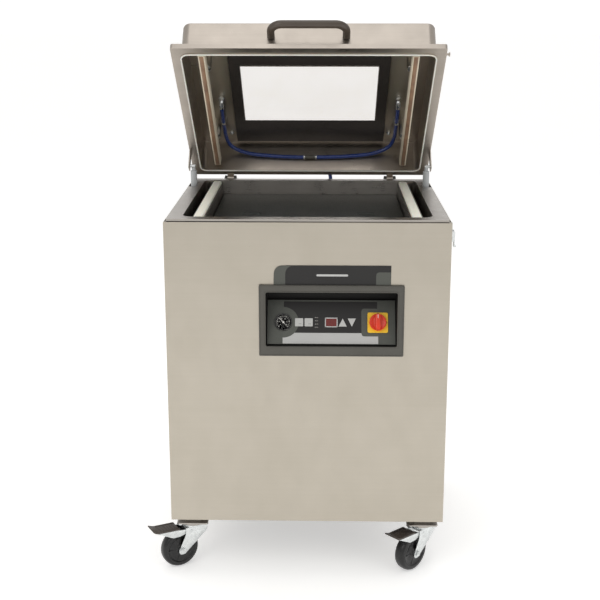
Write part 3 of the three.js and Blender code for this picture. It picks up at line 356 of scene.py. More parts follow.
PANEL_TONES = (srgb(186, 179, 167), srgb(178, 171, 158))
STEEL = brushed("stainless", *PANEL_TONES)
STEEL_SIDE = brushed("stainless_side", *PANEL_TONES, grain="y")
STEEL_TANK = brushed("stainless_tank", srgb(176, 171, 165), srgb(160, 155, 149), roughness=0.32)
STEEL_LID = brushed("stainless_lid", srgb(186, 177, 167), srgb(168, 160, 151), roughness=0.34)
LOOKS = {
    "stainless": STEEL,
    "frame_steel": brushed("frame_steel", srgb(128, 124, 118), srgb(104, 101, 96), roughness=0.45),
    "zinc": plated("zinc", srgb(222, 225, 225)),
    "strut_grey": painted("strut_paint", srgb(176, 179, 180), roughness=0.35, relief=0.1),
    "strut_chrome": plated("chrome", srgb(228, 229, 230), roughness=0.12, relief=0.02),
    "silicone": moulded("silicone", srgb(250, 244, 230), 0.5, 300, 0.05, 0.93, Subsurface_Weight=0.15),
    "gasket": moulded("gasket", srgb(226, 222, 212), 0.45, 260, 0.04, 0.92, Subsurface_Weight=0.1),
    "insert_black": moulded("insert_plastic", srgb(40, 43, 40), 0.36, 500, 0.05, 0.8),
    "bezel_plastic": moulded("bezel_plastic", srgb(78, 76, 70), 0.42, 520, 0.08, 0.88),
    "fascia_film": moulded("fascia_film", srgb(52, 52, 50), 0.38, 900, 0.03, 0.94),
    "badge_film": moulded("badge_film", srgb(28, 25, 24), 0.42, 900, 0.02, 0.94),
    "display_red": lit_filter(),
    "gauge_black": painted("gauge_paint", srgb(38, 38, 38), relief=0.1),
    "needle_white": painted("needle_paint", srgb(232, 230, 224), relief=0.05),
    "key_grey": moulded("key_film", srgb(190, 190, 187), 0.4, 800, 0.03, 0.95),
    "switch_yellow": moulded("switch_yellow", srgb(248, 198, 40), 0.34, 800, 0.03, 0.93),
    "switch_red": moulded("switch_red", srgb(220, 58, 30), 0.32, 800, 0.03, 0.9),
    "hinge_black": painted("hinge_paint", srgb(58, 55, 52), relief=0.12),
    "cast_grey": cast_paint(),
    "fan_plastic": moulded("fan_plastic", srgb(50, 50, 50)),
    "filter_steel": painted("filter_paint", srgb(196, 196, 192)),
    "hose_black": ribbed_hose(srgb(36, 36, 36)),
    "transformer_iron": laminations(),
    "valve_brass": plated("brass", srgb(205, 172, 104)),
    "inlet_plastic": moulded("inlet_plastic", srgb(34, 34, 34)),
    "pane": clear_pane(),
    "handle_plastic": moulded("handle_plastic", srgb(72, 62, 53), 0.36, 420, 0.07, 0.85),
    "seal_ptfe": woven_tape(),
    "hose_blue": moulded("hose_blue", srgb(32, 56, 122), 0.26, 500, 0.02, 0.85, Coat_Weight=0.4),
    "wheel_rubber": moulded("wheel_rubber", srgb(13, 13, 14), 0.3, 380, 0.04, 0.8),
    "pedal_brown": moulded("pedal_cap", srgb(74, 66, 60), 0.42, 360, 0.08, 0.82),
}
# Near-black look for the walls of the control recess: painted shade.
RECESS_PAINTED_SHADE = moulded("recess_painted_shade", srgb(26, 25, 24), 0.6, 520, 0.06, 0.9, Specular_IOR_Level=0.2)
NODE_LOOKS = {
    "left_side_panel": STEEL_SIDE,
    "right_side_panel": STEEL_SIDE,
    "chamber_tank": STEEL_TANK,
    "lid_shell": STEEL_LID,
}

# ------ the CAD nodes that show
# Width of the rounding on the edges of the nodes that stay in view, in millimetres.
EDGE_WIDTH = {"front_panel": 1.4, "left_side_panel": 1.4, "right_side_panel": 1.4, "rear_panel": 0.5,
              "chamber_tank": 1.0, "lid_shell": 1.0, "control_bezel": 1.0, "base_frame": 0.8,
              "switch_plate": 0.8, "pump_body": 3.0, "pump_motor": 1.5, "lid_window": 0.8}
EDGE_DEFAULT = 0.4
for node, thing in NODES.items():
    mesh = thing.data
    if "custom_normal" in mesh.attributes:
        mesh.attributes.remove(mesh.attributes["custom_normal"])
    mesh.materials.clear()
    mesh.materials.append(NODE_LOOKS.get(node, LOOKS[SLOT_OF[node]]))
    if node == "control_bezel":
        # The recess gets a near-black look, darker than the frame round it: painted shade.
        mesh.materials.append(RECESS_PAINTED_SHADE)
        for face in mesh.polygons:
            face.material_index = 1 if face.center.y > front_low.y - MM else 0
    if node == "base_frame":
        # The rails and caster plates under the cabinet are bright steel.
        mesh.materials.append(STEEL_TANK)
        for face in mesh.polygons:
            face.material_index = 1 if face.center.z < front_low.z else 0
    if node == "rear_panel":
        mesh.shade_flat()
    else:
        mesh.shade_smooth()
    weld = thing.modifiers.new("weld", "WELD")
    weld.merge_threshold = 0.01 * MM
    rounding = thing.modifiers.new("rounding", "BEVEL")
    rounding.width = EDGE_WIDTH.get(node, EDGE_DEFAULT) * MM
    rounding.segments = 2
    rounding.limit_method = "ANGLE"
    rounding.angle_limit = math.radians(32)
    rounding.harden_normals = node != "rear_panel"


# ------ shapes
# Each shape function returns a closed bmesh in millimetres.
AXIS = 0.01  # a turned shape starts and ends this far from its axis


def turns(sides):
    """The angles of one full turn in equal steps."""
    return [2 * math.pi * index / sides for index in range(sides)]


def polar(radius, turn):
    """A point at a distance and an angle from the origin."""
    return radius * math.cos(turn), radius * math.sin(turn)


def from_rings(rings, closed=False):
    """A skin over rings of points; open ends are capped."""
    shape = bmesh.new()
    made = [[shape.verts.new(point) for point in ring] for ring in rings]
    count = len(made[0])
    steps = len(made) if closed else len(made) - 1
    for step in range(steps):
        here, there = made[step], made[(step + 1) % len(made)]
        for index in range(count):
            after = (index + 1) % count
            shape.faces.new((here[index], here[after], there[after], there[index]))
    if not closed:
        shape.faces.new(list(reversed(made[0])))
        shape.faces.new(made[-1])
    bmesh.ops.recalc_face_normals(shape, faces=shape.faces)
    return shape


def soften(shape, width):
    """Rounds every edge that turns more than 30 degrees."""
    if width <= 0:
        return shape
    sharp = [edge for edge in shape.edges
             if len(edge.link_faces) == 2 and edge.calc_face_angle() > math.radians(30)]
    bmesh.ops.bevel(shape, geom=sharp, offset=width, segments=2, profile=0.5,
                    affect="EDGES", clamp_overlap=True)
    return shape


def block(x0, x1, y0, y1, z0, z1, edge):
    ring = [(x0, y0), (x1, y0), (x1, y1), (x0, y1)]
    return soften(from_rings([[(x, y, z) for x, y in ring] for z in (z0, z1)]), edge)


def turned(profile, sides):
    """A profile of (radius, height) turned round Z. It starts and ends near the axis."""
    return from_rings([[(*polar(radius, turn), height) for turn in turns(sides)]
                       for radius, height in profile])


def ring_of(profile, sides):
    """A closed profile of (radius, height) turned round Z."""
    return from_rings([[(*polar(radius, turn), height) for radius, height in profile]
                       for turn in turns(sides)], closed=True)


def rod(radius, length, sides):
    """A plain round bar or disc standing on Z = 0."""
    return turned([(AXIS, 0), (radius, 0), (radius, length), (AXIS, length)], sides)


def stud(radius, length):
    """A round bar with a chamfered end."""
    return turned([(AXIS, 0), (radius, 0), (radius, length - 0.6), (radius - 0.6, length),
                   (AXIS, length)], 20)


def rounded(points, radius, steps=5):
    """A polygon with its corners rounded. The radius may be one number or one for each corner."""
    radii = radius if isinstance(radius, (list, tuple)) else [radius] * len(points)
    outline = []
    for index, corner in enumerate(points):
        here = Vector(corner)
        before = Vector(points[index - 1]) - here
        after = Vector(points[(index + 1) % len(points)]) - here
        reach = min(radii[index], before.length * 0.49, after.length * 0.49)
        if reach <= 0:
            outline.append(tuple(here))
            continue
        start = here + before.normalized() * reach
        end = here + after.normalized() * reach
        for step in range(steps + 1):
            t = step / steps
            outline.append(tuple(start * (1 - t) ** 2 + here * 2 * t * (1 - t) + end * t ** 2))
    return outline


def rect(x0, x1, z0, z1, radius=0, steps=5):
    corners = [(x0, z0), (x1, z0), (x1, z1), (x0, z1)]
    return rounded(corners, radius, steps) if radius else corners


def circle(x, z, radius, sides):
    return [(x + across, z + up) for across, up in (polar(radius, turn) for turn in turns(sides))]


PLANES = {
    "xz": lambda a, b, depth: (a, depth, b),
    "yz": lambda a, b, depth: (depth, a, b),
}


def plate(outline, one, other, plane="xz", edge=0.4):
    """An outline in a plane, with its two faces at two places along the third axis."""
    put = PLANES[plane]
    depths = sorted((one, other))
    return soften(from_rings([[put(a, b, depth) for a, b in outline] for depth in depths]), edge)


def film(outline, back, thickness=0.06):
    """A thin printed film whose back lies at a depth."""
    return plate(outline, back - thickness, back, edge=0)


def smooth_path(points, steps=8):
    """A Catmull-Rom curve through the points."""
    knots = [Vector(point) for point in points]
    knots = [knots[0] * 2 - knots[1], *knots, knots[-1] * 2 - knots[-2]]
    path = []
    for index in range(1, len(knots) - 2):
        p0, p1, p2, p3 = knots[index - 1:index + 3]
        for step in range(steps):
            t = step / steps
            path.append(0.5 * (p1 * 2 + (p2 - p0) * t + (p0 * 2 - p1 * 5 + p2 * 4 - p3) * t * t
                               + (p1 * 3 - p0 - p2 * 3 + p3) * t ** 3))
    path.append(knots[-2])
    return path


def swept(path, section, closed=False, sides=16):
    """A section of (side, up) points, or a radius, drawn along a path."""
    if isinstance(section, (int, float)):
        section = circle(0, 0, section, sides)
    points = [Vector(point) for point in path]
    count = len(points)
    rings = []
    side = None
    for index, point in enumerate(points):
        before = points[index - 1] if closed or index else point
        after = points[(index + 1) % count] if closed or index < count - 1 else point
        along = (after - before).normalized()
        if side is None:
            guide = Vector((0, 0, 1)) if abs(along.z) < 0.9 else Vector((0, 1, 0))
            side = along.cross(guide).normalized()
        side = (side - along * side.dot(along)).normalized()
        up = side.cross(along)
        rings.append([point + side * a + up * b for a, b in section])
    return from_rings(rings, closed)


def hexagon(across, height):
    """A hex head standing on Z = 0, chamfered at the top."""
    outer = across / math.sqrt(3)
    levels = ((0.97, 0), (1, 0.08), (1, 0.76), (0.86, 1))
    return from_rings([[(*polar(outer * share, turn), height * rise) for turn in turns(6)]
                       for share, rise in levels])


def pan_head(radius, height):
    """A domed screw head."""
    arc = turns(24)[1:6]
    dome = [(radius * math.cos(turn), height * (0.3 + 0.7 * math.sin(turn))) for turn in arc]
    return turned([(AXIS, 0), (radius, 0), (radius, height * 0.3), *dome, (AXIS, height)], 24)


TOWARDS = {"+z": Matrix.Identity(4), "-z": Matrix.Rotation(math.pi, 4, "X"),
           "-y": Matrix.Rotation(math.pi / 2, 4, "X"), "+y": Matrix.Rotation(-math.pi / 2, 4, "X"),
           "+x": Matrix.Rotation(math.pi / 2, 4, "Y"), "-x": Matrix.Rotation(-math.pi / 2, 4, "Y")}


def facing(sign, axis):
    """The direction along an axis that a sign points to."""
    return ("+" if sign > 0 else "-") + axis


def stand(shape, place, towards="+z"):
    """Moves a shape that stands on Z = 0 so that it stands at a place and points some way."""
    shape.transform(Matrix.Translation(place) @ TOWARDS[towards])
    return shape


class Piece:
    """A visible piece made of closed bodies, each with its own finish."""

    def __init__(self, name, place=ROOT):
        self.name = name
        self.place = place
        self.mesh = bpy.data.meshes.new(name)
        self.whole = bmesh.new()
        self.looks = []

    def add(self, look, *shapes):
        finish = LOOKS[look] if isinstance(look, str) else look
        if finish not in self.looks:
            self.looks.append(finish)
            self.mesh.materials.append(finish)
        number = self.looks.index(finish)
        for shape in shapes:
            for face in shape.faces:
                face.material_index = number
            part = bpy.data.meshes.new("part")
            shape.to_mesh(part)
            shape.free()
            self.whole.from_mesh(part)
            bpy.data.meshes.remove(part)
        return self

    def put(self, look, shape, place, towards="+z"):
        """Adds one shape that stands at a place."""
        return self.add(look, stand(shape, place, towards))

    def made(self, body, slot, *replaced, smooth=32):
        """Finishes the piece. Edges that turn more than `smooth` degrees stay sharp."""
        self.whole.to_mesh(self.mesh)
        self.whole.free()
        self.mesh.transform(self.place)
        self.mesh.shade_smooth()
        self.mesh.set_sharp_from_angle(angle=math.radians(smooth))
        thing = bpy.data.objects.new(self.name, self.mesh)
        bpy.context.scene.collection.objects.link(thing)
        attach(thing, body)
        if replaced:
            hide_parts(*replaced)


FILM_GREY = moulded("film_grey", srgb(74, 76, 70), 0.46, 900, 0.02, 0.95)
FILM_BLACK = moulded("film_black", srgb(22, 20, 19), 0.5, 900, 0.02, 0.95)
FILM_PALE = moulded("film_pale", srgb(184, 184, 182), 0.42, 900, 0.02, 0.96)
FILM_INK = moulded("film_ink", srgb(60, 60, 58), 0.4, 900, 0.02, 0.95)
DIAL_WHITE = moulded("dial_white", srgb(222, 220, 212), 0.45, 900, 0.02, 0.95)
DIAL_BLACK = moulded("dial_black", srgb(18, 18, 18), 0.6, 900, 0.01, 0.9, Specular_IOR_Level=0.15)
# A dark look for the strips under the lid's pane: painted shade.
PANE_PAINTED_SHADE = moulded("window_painted_shade", srgb(50, 46, 43), 0.3, 500, 0.03, 0.9)
CREAM = moulded("bar_edge", srgb(224, 213, 190), 0.5, 400, 0.04, 0.9)


def gauge_lens():
    """The gauge's thin clear lens."""
    look = Look("gauge_lens", 0.03, IOR=1.12, Transmission_Weight=1.0)
    look.bump(look.noise(40, 2), 0.01, 0.3)
    look.set("Base Color", look.tint(look.noise(20), srgb(250, 250, 250), srgb(255, 255, 255)))
    return look.material


# The lights are off, but this look gives them a faint glow: painted glow.
def unlit_led_painted_glow():
    look = Look("led", 0.2, Emission_Strength=0.1, Coat_Weight=0.4)
    look.set("Base Color", look.tint(look.noise(300), srgb(112, 104, 96), srgb(140, 130, 120)))
    return look.material


# ------ cabinet details
panel_low, panel_high = size_of("front_panel", ROOT)
BOTTOM, TOP = panel_low.z, panel_high.z
BACK = size_of("rear_panel", ROOT)[1].y
SCREW_INSET = 14

LOUVRE_FIRST = BOTTOM + 132
LOUVRE_STEP = 30
LOUVRE_HALF = 112
LOUVRES = 6
louvres = Piece("rear_louvres")
for row in range(LOUVRES):
    z = LOUVRE_FIRST + row * LOUVRE_STEP
    hood = [(0.1, 13), (0.1, 11.5), (5.5, 4), (7, 2.5), (8, 3), (6.6, 5.4), (1.6, 13)]
    hood = [(BACK + out, z + up) for out, up in hood]
    louvres.add(STEEL, plate(hood, -LOUVRE_HALF, LOUVRE_HALF, "yz", 0.3))
    cheek = [(BACK + 0.1, z + 12.8), (BACK + 0.1, z + 2.6), (BACK + 7, z + 2.7)]
    for end in (-1, 1):
        louvres.add(STEEL, plate(cheek, end * LOUVRE_HALF, end * (LOUVRE_HALF + 1.4), "yz", 0.2))
louvres.made("root", "stainless")

screws = Piece("rear_screws")
side_x = panel_high.x - SCREW_INSET
places = [(x, z) for x in (-side_x, 0, side_x) for z in (BOTTOM + SCREW_INSET, TOP - 48)]
places += [(x, BOTTOM + share * (TOP - BOTTOM)) for x in (-side_x, side_x) for share in (0.33, 0.66)]
for x, z in places:
    screws.put("zinc", pan_head(4.2, 2.2), (x, BACK, z), "+y")
screws.made("root", "zinc")

inlet_low, inlet_high = size_of("mains_inlet", ROOT)
inlet_x, inlet_z = (inlet_low.x + inlet_high.x) / 2, (inlet_low.z + inlet_high.z) / 2
pins = Piece("inlet_pins")
for across, up in ((-7, -2), (7, -2), (0, 3)):
    x, z = inlet_x + across, inlet_z + up
    pins.add("zinc", block(x - 1, x + 1, BACK - 18, BACK - 3, z - 2, z + 2, 0.4))
for x in (-24, 24):
    pins.put("zinc", pan_head(2.6, 1.4), (inlet_x + x, inlet_high.y, inlet_z), "+y")
pins.made("root", "inlet_plastic")

# ------ badge above the panel
badge_low, badge_high = size_of("badge_plate", ROOT)
badge_middle = (badge_low + badge_high) / 2
BADGE_FILM = 0.08
FILM_LAP = 0.1  # each film lies this far in front of the one below it
left, right = badge_low.x + 0.4, badge_high.x - 0.4
foot, head = badge_low.z + 0.3, badge_high.z - 0.4
band = badge_low.x + 28


def badge_film(outline, level):
    return film(outline, badge_low.y + BADGE_FILM - level * FILM_LAP, BADGE_FILM)


def one_corner(x0, x1, z0, z1, radius, steps):
    """A rectangle with only its upper left corner rounded."""
    return rounded(rect(x0, x1, z0, z1), [0, 0, 0, radius], steps)


badge = Piece("badge_films")
badge.add(FILM_GREY, badge_film(one_corner(left, band + 60, foot, head, 57.8, 12), 1),
          badge_film(one_corner(badge_high.x - 36, right, foot, badge_low.z + 32, 9, 6), 3))
badge.add(FILM_BLACK, badge_film(one_corner(band, right, foot, head, 42, 12), 2))
bar = rect(badge_middle.x - 38, badge_middle.x + 38, badge_middle.z - 2.5, badge_middle.z + 2.5, 2.4)
badge.add(FILM_PALE, badge_film(bar, 3))
badge.made("root", "badge_film")

# ------ control panel
bezel_low, bezel_high = size_of("control_bezel", ROOT)
PANEL_X = (bezel_low.x + bezel_high.x) / 2
OPEN_HALF = 159.5
OPEN_TOP = bezel_high.z - 18
OPEN_BOTTOM = OPEN_TOP - 136


def bezel_lip(x0, x1, z0, z1, corner, thickness):
    path = [(x, bezel_low.y, z) for x, z in rect(x0, x1, z0, z1, corner, 6)]
    return swept(path, thickness, closed=True, sides=12)


LIP = 1.6
EDGE = 2
lips = Piece("bezel_lips")
lips.add("bezel_plastic",
         bezel_lip(PANEL_X - OPEN_HALF - LIP, PANEL_X + OPEN_HALF + LIP, OPEN_BOTTOM - LIP,
                   OPEN_TOP + LIP, 6, 1.5),
         bezel_lip(bezel_low.x + EDGE, bezel_high.x - EDGE, bezel_low.z + EDGE,
                   bezel_high.z - EDGE, 5, 1.3))
lips.made("root", "bezel_plastic")

# The fascia's films, in the fascia's own frame: three layers, each in front of the last.
FASCIA_HALF = 156.5
FASCIA_HEIGHT = 110
LAYERS = (-0.04, -0.14, -0.24)
prints = Piece("fascia_print", FASCIA)
prints.add(FILM_GREY, film(rect(-FASCIA_HALF, FASCIA_HALF, 0.6, FASCIA_HEIGHT - 0.6), LAYERS[0]))
prints.add(FILM_BLACK, film(rect(-117, 113, 28, 106, 1), LAYERS[1]))
prints.add(FILM_PALE, film(rect(-119, 115, 1.5, 28, 1), LAYERS[1]))
prints.add(FILM_GREY, film(circle(GAUGE_U, CONTROL_LINE, 38, 56), LAYERS[2]))
prints.add(FILM_GREY, film(rect(74, 150, 20, 89, 8), LAYERS[2]))
prints.made("root", "fascia_film")

DISPLAY_HALF_W, DISPLAY_HALF_H = 15.5, 12
DISPLAY_FACE = -1.2
surround = Piece("display_surround", FASCIA)
for x0, x1, z0, z1 in ((-1, 1, 0.8, 1), (-1, 1, -1, -0.8), (-1, -0.85, -1, 1), (0.85, 1, -1, 1)):
    low_z, high_z = (CONTROL_LINE + z * DISPLAY_HALF_H for z in (z0, z1))
    strip = block(x0 * DISPLAY_HALF_W, x1 * DISPLAY_HALF_W, DISPLAY_FACE - 0.7, DISPLAY_FACE - 0.05,
                  low_z, high_z, 0.2)
    surround.add(FILM_PALE, strip)
surround.made("root", "key_grey")

indicators = Piece("indicator_lights", FASCIA)
# The indicator lights are off; their faint glow is painted light.
led = unlit_led_painted_glow()
for row in range(4):
    z = CONTROL_LINE + 12 - row * 8
    indicators.put(led, pan_head(1.1, 0.7), (-33.5, -0.2, z), "-y")
    indicators.add(DIAL_WHITE, film(rect(-40, -36.4, z - 0.35, z + 0.35), -0.2, 0.04))
indicators.made("root", "key_grey")

KEY_FACE = -1.6
for key, u in (("vacuum_key", -79), ("seal_key", -55.5)):
    line = rect(u - 1, u + 5.5, CONTROL_LINE - 4.4, CONTROL_LINE - 3.6, 0.3)
    mark = Piece(f"{key}_mark", FASCIA)
    mark.add(FILM_INK, film(line, KEY_FACE - 0.01, 0.05))
    mark.made(key, "key_grey")

# Vacuum gauge: black ring and dial, white ticks and numbers, and a glass.
GAUGE_MIDDLE = (GAUGE_U, 0, CONTROL_LINE)
GAUGE_R = 21.5
DIAL_FACE = -1.02
DIAL_START, DIAL_SWEEP = 225, 270
NUMBER_R = 9.6
TICKS = 50
ring_profile = [(GAUGE_R - 2.2, 3.6), (GAUGE_R - 1.2, 4.2), (GAUGE_R - 0.4, 3.8), (GAUGE_R, 2.8),
                (GAUGE_R, 0.3), (GAUGE_R - 3.2, 0.3), (GAUGE_R - 3.2, 2.4)]
case_profile = [(AXIS, -24), (18.5, -24), (18.9, -23), (18.9, 0.4), (AXIS, 0.4)]
dial_profile = [(AXIS, 0.4), (18.6, 0.4), (18.6, 0.9), (18.5, 1), (AXIS, 1)]
gauge = Piece("gauge_case", FASCIA)
gauge.add("gauge_black", stand(ring_of(ring_profile, 64), GAUGE_MIDDLE, "-y"),
          stand(turned(case_profile, 48), GAUGE_MIDDLE, "-y"))
gauge.put(DIAL_BLACK, turned(dial_profile, 48), GAUGE_MIDDLE, "-y")


def dial_tick(turn, inner, half):
    """A radial line on the dial from an inner radius out to its rim."""
    middle = Vector((GAUGE_U, CONTROL_LINE))
    along = Vector(polar(1, turn))
    across = Vector((-along.y, along.x)) * half
    ends = (along * inner - across, along * 16.6 - across, along * 16.6 + across,
            along * inner + across)
    return film([tuple(middle + end) for end in ends], DIAL_FACE - 0.02)


for tick in range(TICKS + 1):
    major = tick % 10 == 0
    inner = 12.4 if major else 14.0 if tick % 5 == 0 else 15.0
    turn = math.radians(DIAL_START - DIAL_SWEEP * tick / TICKS)
    gauge.add(DIAL_WHITE, dial_tick(turn, inner, 0.38 if major else 0.2))
gauge.made("root", "gauge_black", "gauge_body")


def dial_number(text, u, w, height):
    curve = bpy.data.curves.new("digits", "FONT")
    curve.body = text
    curve.size = height
    curve.align_x = "CENTER"
    curve.align_y = "CENTER"
    curve.extrude = 0.03
    holder = bpy.data.objects.new("digits", curve)
    bpy.context.scene.collection.objects.link(holder)
    bpy.context.view_layer.update()
    shape = bmesh.new()
    evaluated = holder.evaluated_get(bpy.context.evaluated_depsgraph_get())
    shape.from_mesh(evaluated.to_mesh())
    evaluated.to_mesh_clear()
    bpy.data.objects.remove(holder)
    bpy.data.curves.remove(curve)
    return stand(shape, (u, DIAL_FACE - 0.06, w), "-y")


numbers = Piece("gauge_numbers", FASCIA)
for step in range(6):
    across, up = polar(NUMBER_R, math.radians(DIAL_START - DIAL_SWEEP * step / 5))
    numbers.add(DIAL_WHITE, dial_number(str(20 * step), GAUGE_U + across, CONTROL_LINE + up, 3.2))
numbers.made("root", "needle_white")
glass = Piece("gauge_glass", FASCIA)
glass_profile = [(AXIS, 3), (18.4, 3), (18.4, 3.4), (AXIS, 3.6)]
glass.put(gauge_lens(), turned(glass_profile, 48), GAUGE_MIDDLE, "-y")
glass.made("root", "pane")

# Main switch: round red knob with a raised grip and a white pointer line.
SWITCH_U = 114
SWITCH_MIDDLE = (SWITCH_U, 0, CONTROL_LINE)


def by_switch(u0, u1, w0, w1, radius=0, steps=5):
    """A rectangle on the fascia, measured from the switch's middle."""
    return rect(SWITCH_U + u0, SWITCH_U + u1, CONTROL_LINE + w0, CONTROL_LINE + w1, radius, steps)


knob_profile = [(AXIS, 3.3), (17.4, 3.3), (18.2, 3.8), (20.6, 9.6), (20.9, 10.4), (20.4, 11),
                (18.6, 11.2), (17.6, 10.6), (AXIS, 10.4)]
shaft_profile = [(AXIS, -8), (4.3, -8), (4.3, 4), (AXIS, 4)]
knob = Piece("switch_handle", FASCIA)
knob.add("switch_red", stand(turned(knob_profile, 56), SWITCH_MIDDLE, "-y"),
         plate(by_switch(-5.8, 5.8, -19.6, 19.6, 5.4, 8), -22.8, -10, edge=1.6))
wing_half = ((5.2, -15), (10.5, -8), (10.5, 8), (5.2, 15))
for side in (-1, 1):
    wing = [(SWITCH_U + side * u, CONTROL_LINE + w) for u, w in wing_half]
    knob.add("switch_red", plate(wing if side > 0 else wing[::-1], -12.6, -10, edge=1.0))
knob.add(DIAL_WHITE, film(by_switch(-0.7, 0.7, 8, 17, 0.5), -22.82, 0.13))
knob.put("zinc", turned(shaft_profile, 20), SWITCH_MIDDLE, "-y")
knob.made("main_switch", "switch_red", "switch_knob")
marks = Piece("switch_marks", FASCIA)
for mark in (by_switch(-3, 3, 22.3, 23.3), by_switch(22.3, 23.3, -3, 3)):
    marks.add(FILM_INK, film(mark, -3.02, 0.08))
marks.made("root", "switch_yellow")

# ------ chamber details
for side, _ in SIDES:
    low, high = size_of(f"silicone_bar_{side}", ROOT)
    middle = (low.x + high.x) / 2
    half = (high.x - low.x) / 2
    rise = [(half, low.z), (half, high.z - 3.4), (half - 2.2, high.z - 0.7), (half - 5, high.z - 0.05)]
    crown = [(middle + x, z) for x, z in rise] + [(middle, high.z)]
    crown += [(middle - x, z) for x, z in reversed(rise)]
    strip = Piece(f"silicone_strip_{side}")
    strip.add("silicone", plate(crown, low.y, high.y, "xz", 0.6))
    strip.made("root", "silicone", f"silicone_bar_{side}")

INSERT_TOP = size_of("insert_plate", ROOT)[1].z
GRIP_X, GRIP_HALF = 150, 24
grips = Piece("insert_grips")
for middle in (-GRIP_X, GRIP_X):
    slot = rect(middle - GRIP_HALF, middle + GRIP_HALF, 260, 282, 10, 6)
    loop = [(x, y, INSERT_TOP - 0.4) for x, y in slot]
    grips.add("insert_black", swept(loop, 1.6, closed=True, sides=10))
grips.made("insert_plate", "insert_black")

# ------ lid
LID_SHEET = 3
LID_TOP = size_of("lid_shell", LID)[1].z
ROOF_UNDER = LID_TOP - LID_SHEET
pane_low, pane_high = size_of("lid_window", LID)
gasket_low, gasket_high = size_of("lid_gasket", LID)
RIM = gasket_high.z + 0.3
RIM_HEIGHT = 14
WINDOW_HALF, WINDOW_FRONT, WINDOW_BACK = 184, 198, 452
SHADE_FRONT, SHADE_BACK = WINDOW_FRONT - 13, WINDOW_BACK - 14

# Four dark strips just under the pane, round the clear window: painted shade where the inside of the lid's roof
# lies in shadow.
shade_strips = Piece("window_painted_shade_strips", LID)
for x0, x1, y0, y1 in ((pane_low.x, pane_high.x, pane_low.y, SHADE_FRONT),
                       (pane_low.x, pane_high.x, SHADE_BACK, pane_high.y),
                       (pane_low.x, -WINDOW_HALF, SHADE_FRONT, SHADE_BACK),
                       (WINDOW_HALF, pane_high.x, SHADE_FRONT, SHADE_BACK)):
    shade_strips.add(PANE_PAINTED_SHADE, block(x0, x1, y0, y1, pane_low.z - 0.5, pane_low.z - 0.1, 0))
shade_strips.made("lid", "pane")

# Seal round the window on the outside of the roof.
trim = Piece("window_seal", LID)
trim_edge = rect(-WINDOW_HALF - 1, WINDOW_HALF + 1, WINDOW_FRONT - 1, WINDOW_BACK + 1, 5)
trim_path = [(x, y, LID_TOP + 0.1) for x, y in trim_edge]
trim.add("inlet_plastic", swept(trim_path, 1.9, closed=True, sides=10))
trim.made("lid", "hose_black")

# Seal in the lid's rim.
SEAL_HALF = 1.8
seal_z = (gasket_low.z + gasket_high.z) / 2
seal_half_h = (gasket_high.z - gasket_low.z) / 2
seal_edge = rect(gasket_low.x + SEAL_HALF, gasket_high.x - SEAL_HALF,
                 gasket_low.y + SEAL_HALF, gasket_high.y - SEAL_HALF, 22, 9)
seal_path = [(x, y, seal_z) for x, y in seal_edge]
seal_section = rect(-SEAL_HALF, SEAL_HALF, -seal_half_h, seal_half_h, 1.3, 3)
seal = Piece("lid_seal", LID)
seal.add("gasket", swept(seal_path, seal_section, closed=True))
seal.made("lid", "gasket", "lid_gasket")

# Handle: a bow whose section is a slightly squared circle.
handle_low, handle_high = size_of("lid_handle", LID)
HANDLE_R = 10
GRIP_R = HANDLE_R - 0.5
BEND_R = 28
HANDLE_HALF = handle_high.x - HANDLE_R
handle_z = (handle_low.z + handle_high.z) / 2
handle_y = handle_low.y + HANDLE_R
leg = [(HANDLE_HALF, handle_high.y - 1), (HANDLE_HALF, handle_high.y - 6)]
leg += [(HANDLE_HALF - BEND_R * (1 - math.cos(turn)), handle_y + BEND_R * (1 - math.sin(turn)))
        for turn in (math.pi / 2 * step / 10 for step in range(11))]
bow = [(-x, y) for x, y in leg]
bow += [(share * HANDLE_HALF, handle_y) for share in (-0.4, 0, 0.4)]
bow += leg[::-1]


def squared(value):
    """A sine or cosine pushed outwards, which squares a circle a little."""
    return GRIP_R * math.copysign(abs(value) ** 0.85, value)


grip_section = [(squared(math.cos(turn)), squared(math.sin(turn))) for turn in turns(28)]
handle = Piece("handle_grip", LID)
handle.add("handle_plastic", swept([(x, y, handle_z) for x, y in bow], grip_section))
handle.made("lid", "handle_plastic", "lid_handle", smooth=60)

# Air hose with its elbows, clips and tee.
bar_low, bar_high = size_of("seal_bar_right", LID)
BAR_X = (bar_low.x + bar_high.x) / 2
BAR_DEPTH = 26
CYLINDERS = (140, 450)
HOSE_R = 5.5
RUN_X = BAR_X - 22.5
ELBOW_Y, GLAND_Y = 338, 350  # where each elbow leaves its cylinder, and where it meets the hose
CLIP_Y = 430
TEE_Y, TEE_HALF = 556, 15
NUT_X, NUTS_Y = 226, (62, 505)
half_route = [
    (RUN_X, ELBOW_Y, ROOF_UNDER - 13),
    (RUN_X, GLAND_Y, ROOF_UNDER - 21),
    (RUN_X, 400, ROOF_UNDER - 23),
    (RUN_X, 452, ROOF_UNDER - 23),
    (RUN_X - 3, 502, ROOF_UNDER - 27),
    (RUN_X - 18, 535, ROOF_UNDER - 36),
    (180, 552, ROOF_UNDER - 47),
    (110, 555.5, ROOF_UNDER - 54),
    (40, 556.5, ROOF_UNDER - 57),
]
route = [(-x, y, z) for x, y, z in half_route] + half_route[::-1]
air_hose = Piece("air_hose", LID)
air_hose.add("hose_blue", swept(smooth_path(route), HOSE_R))
air_hose.made("lid", "hose_blue", "lid_air_hose", smooth=60)

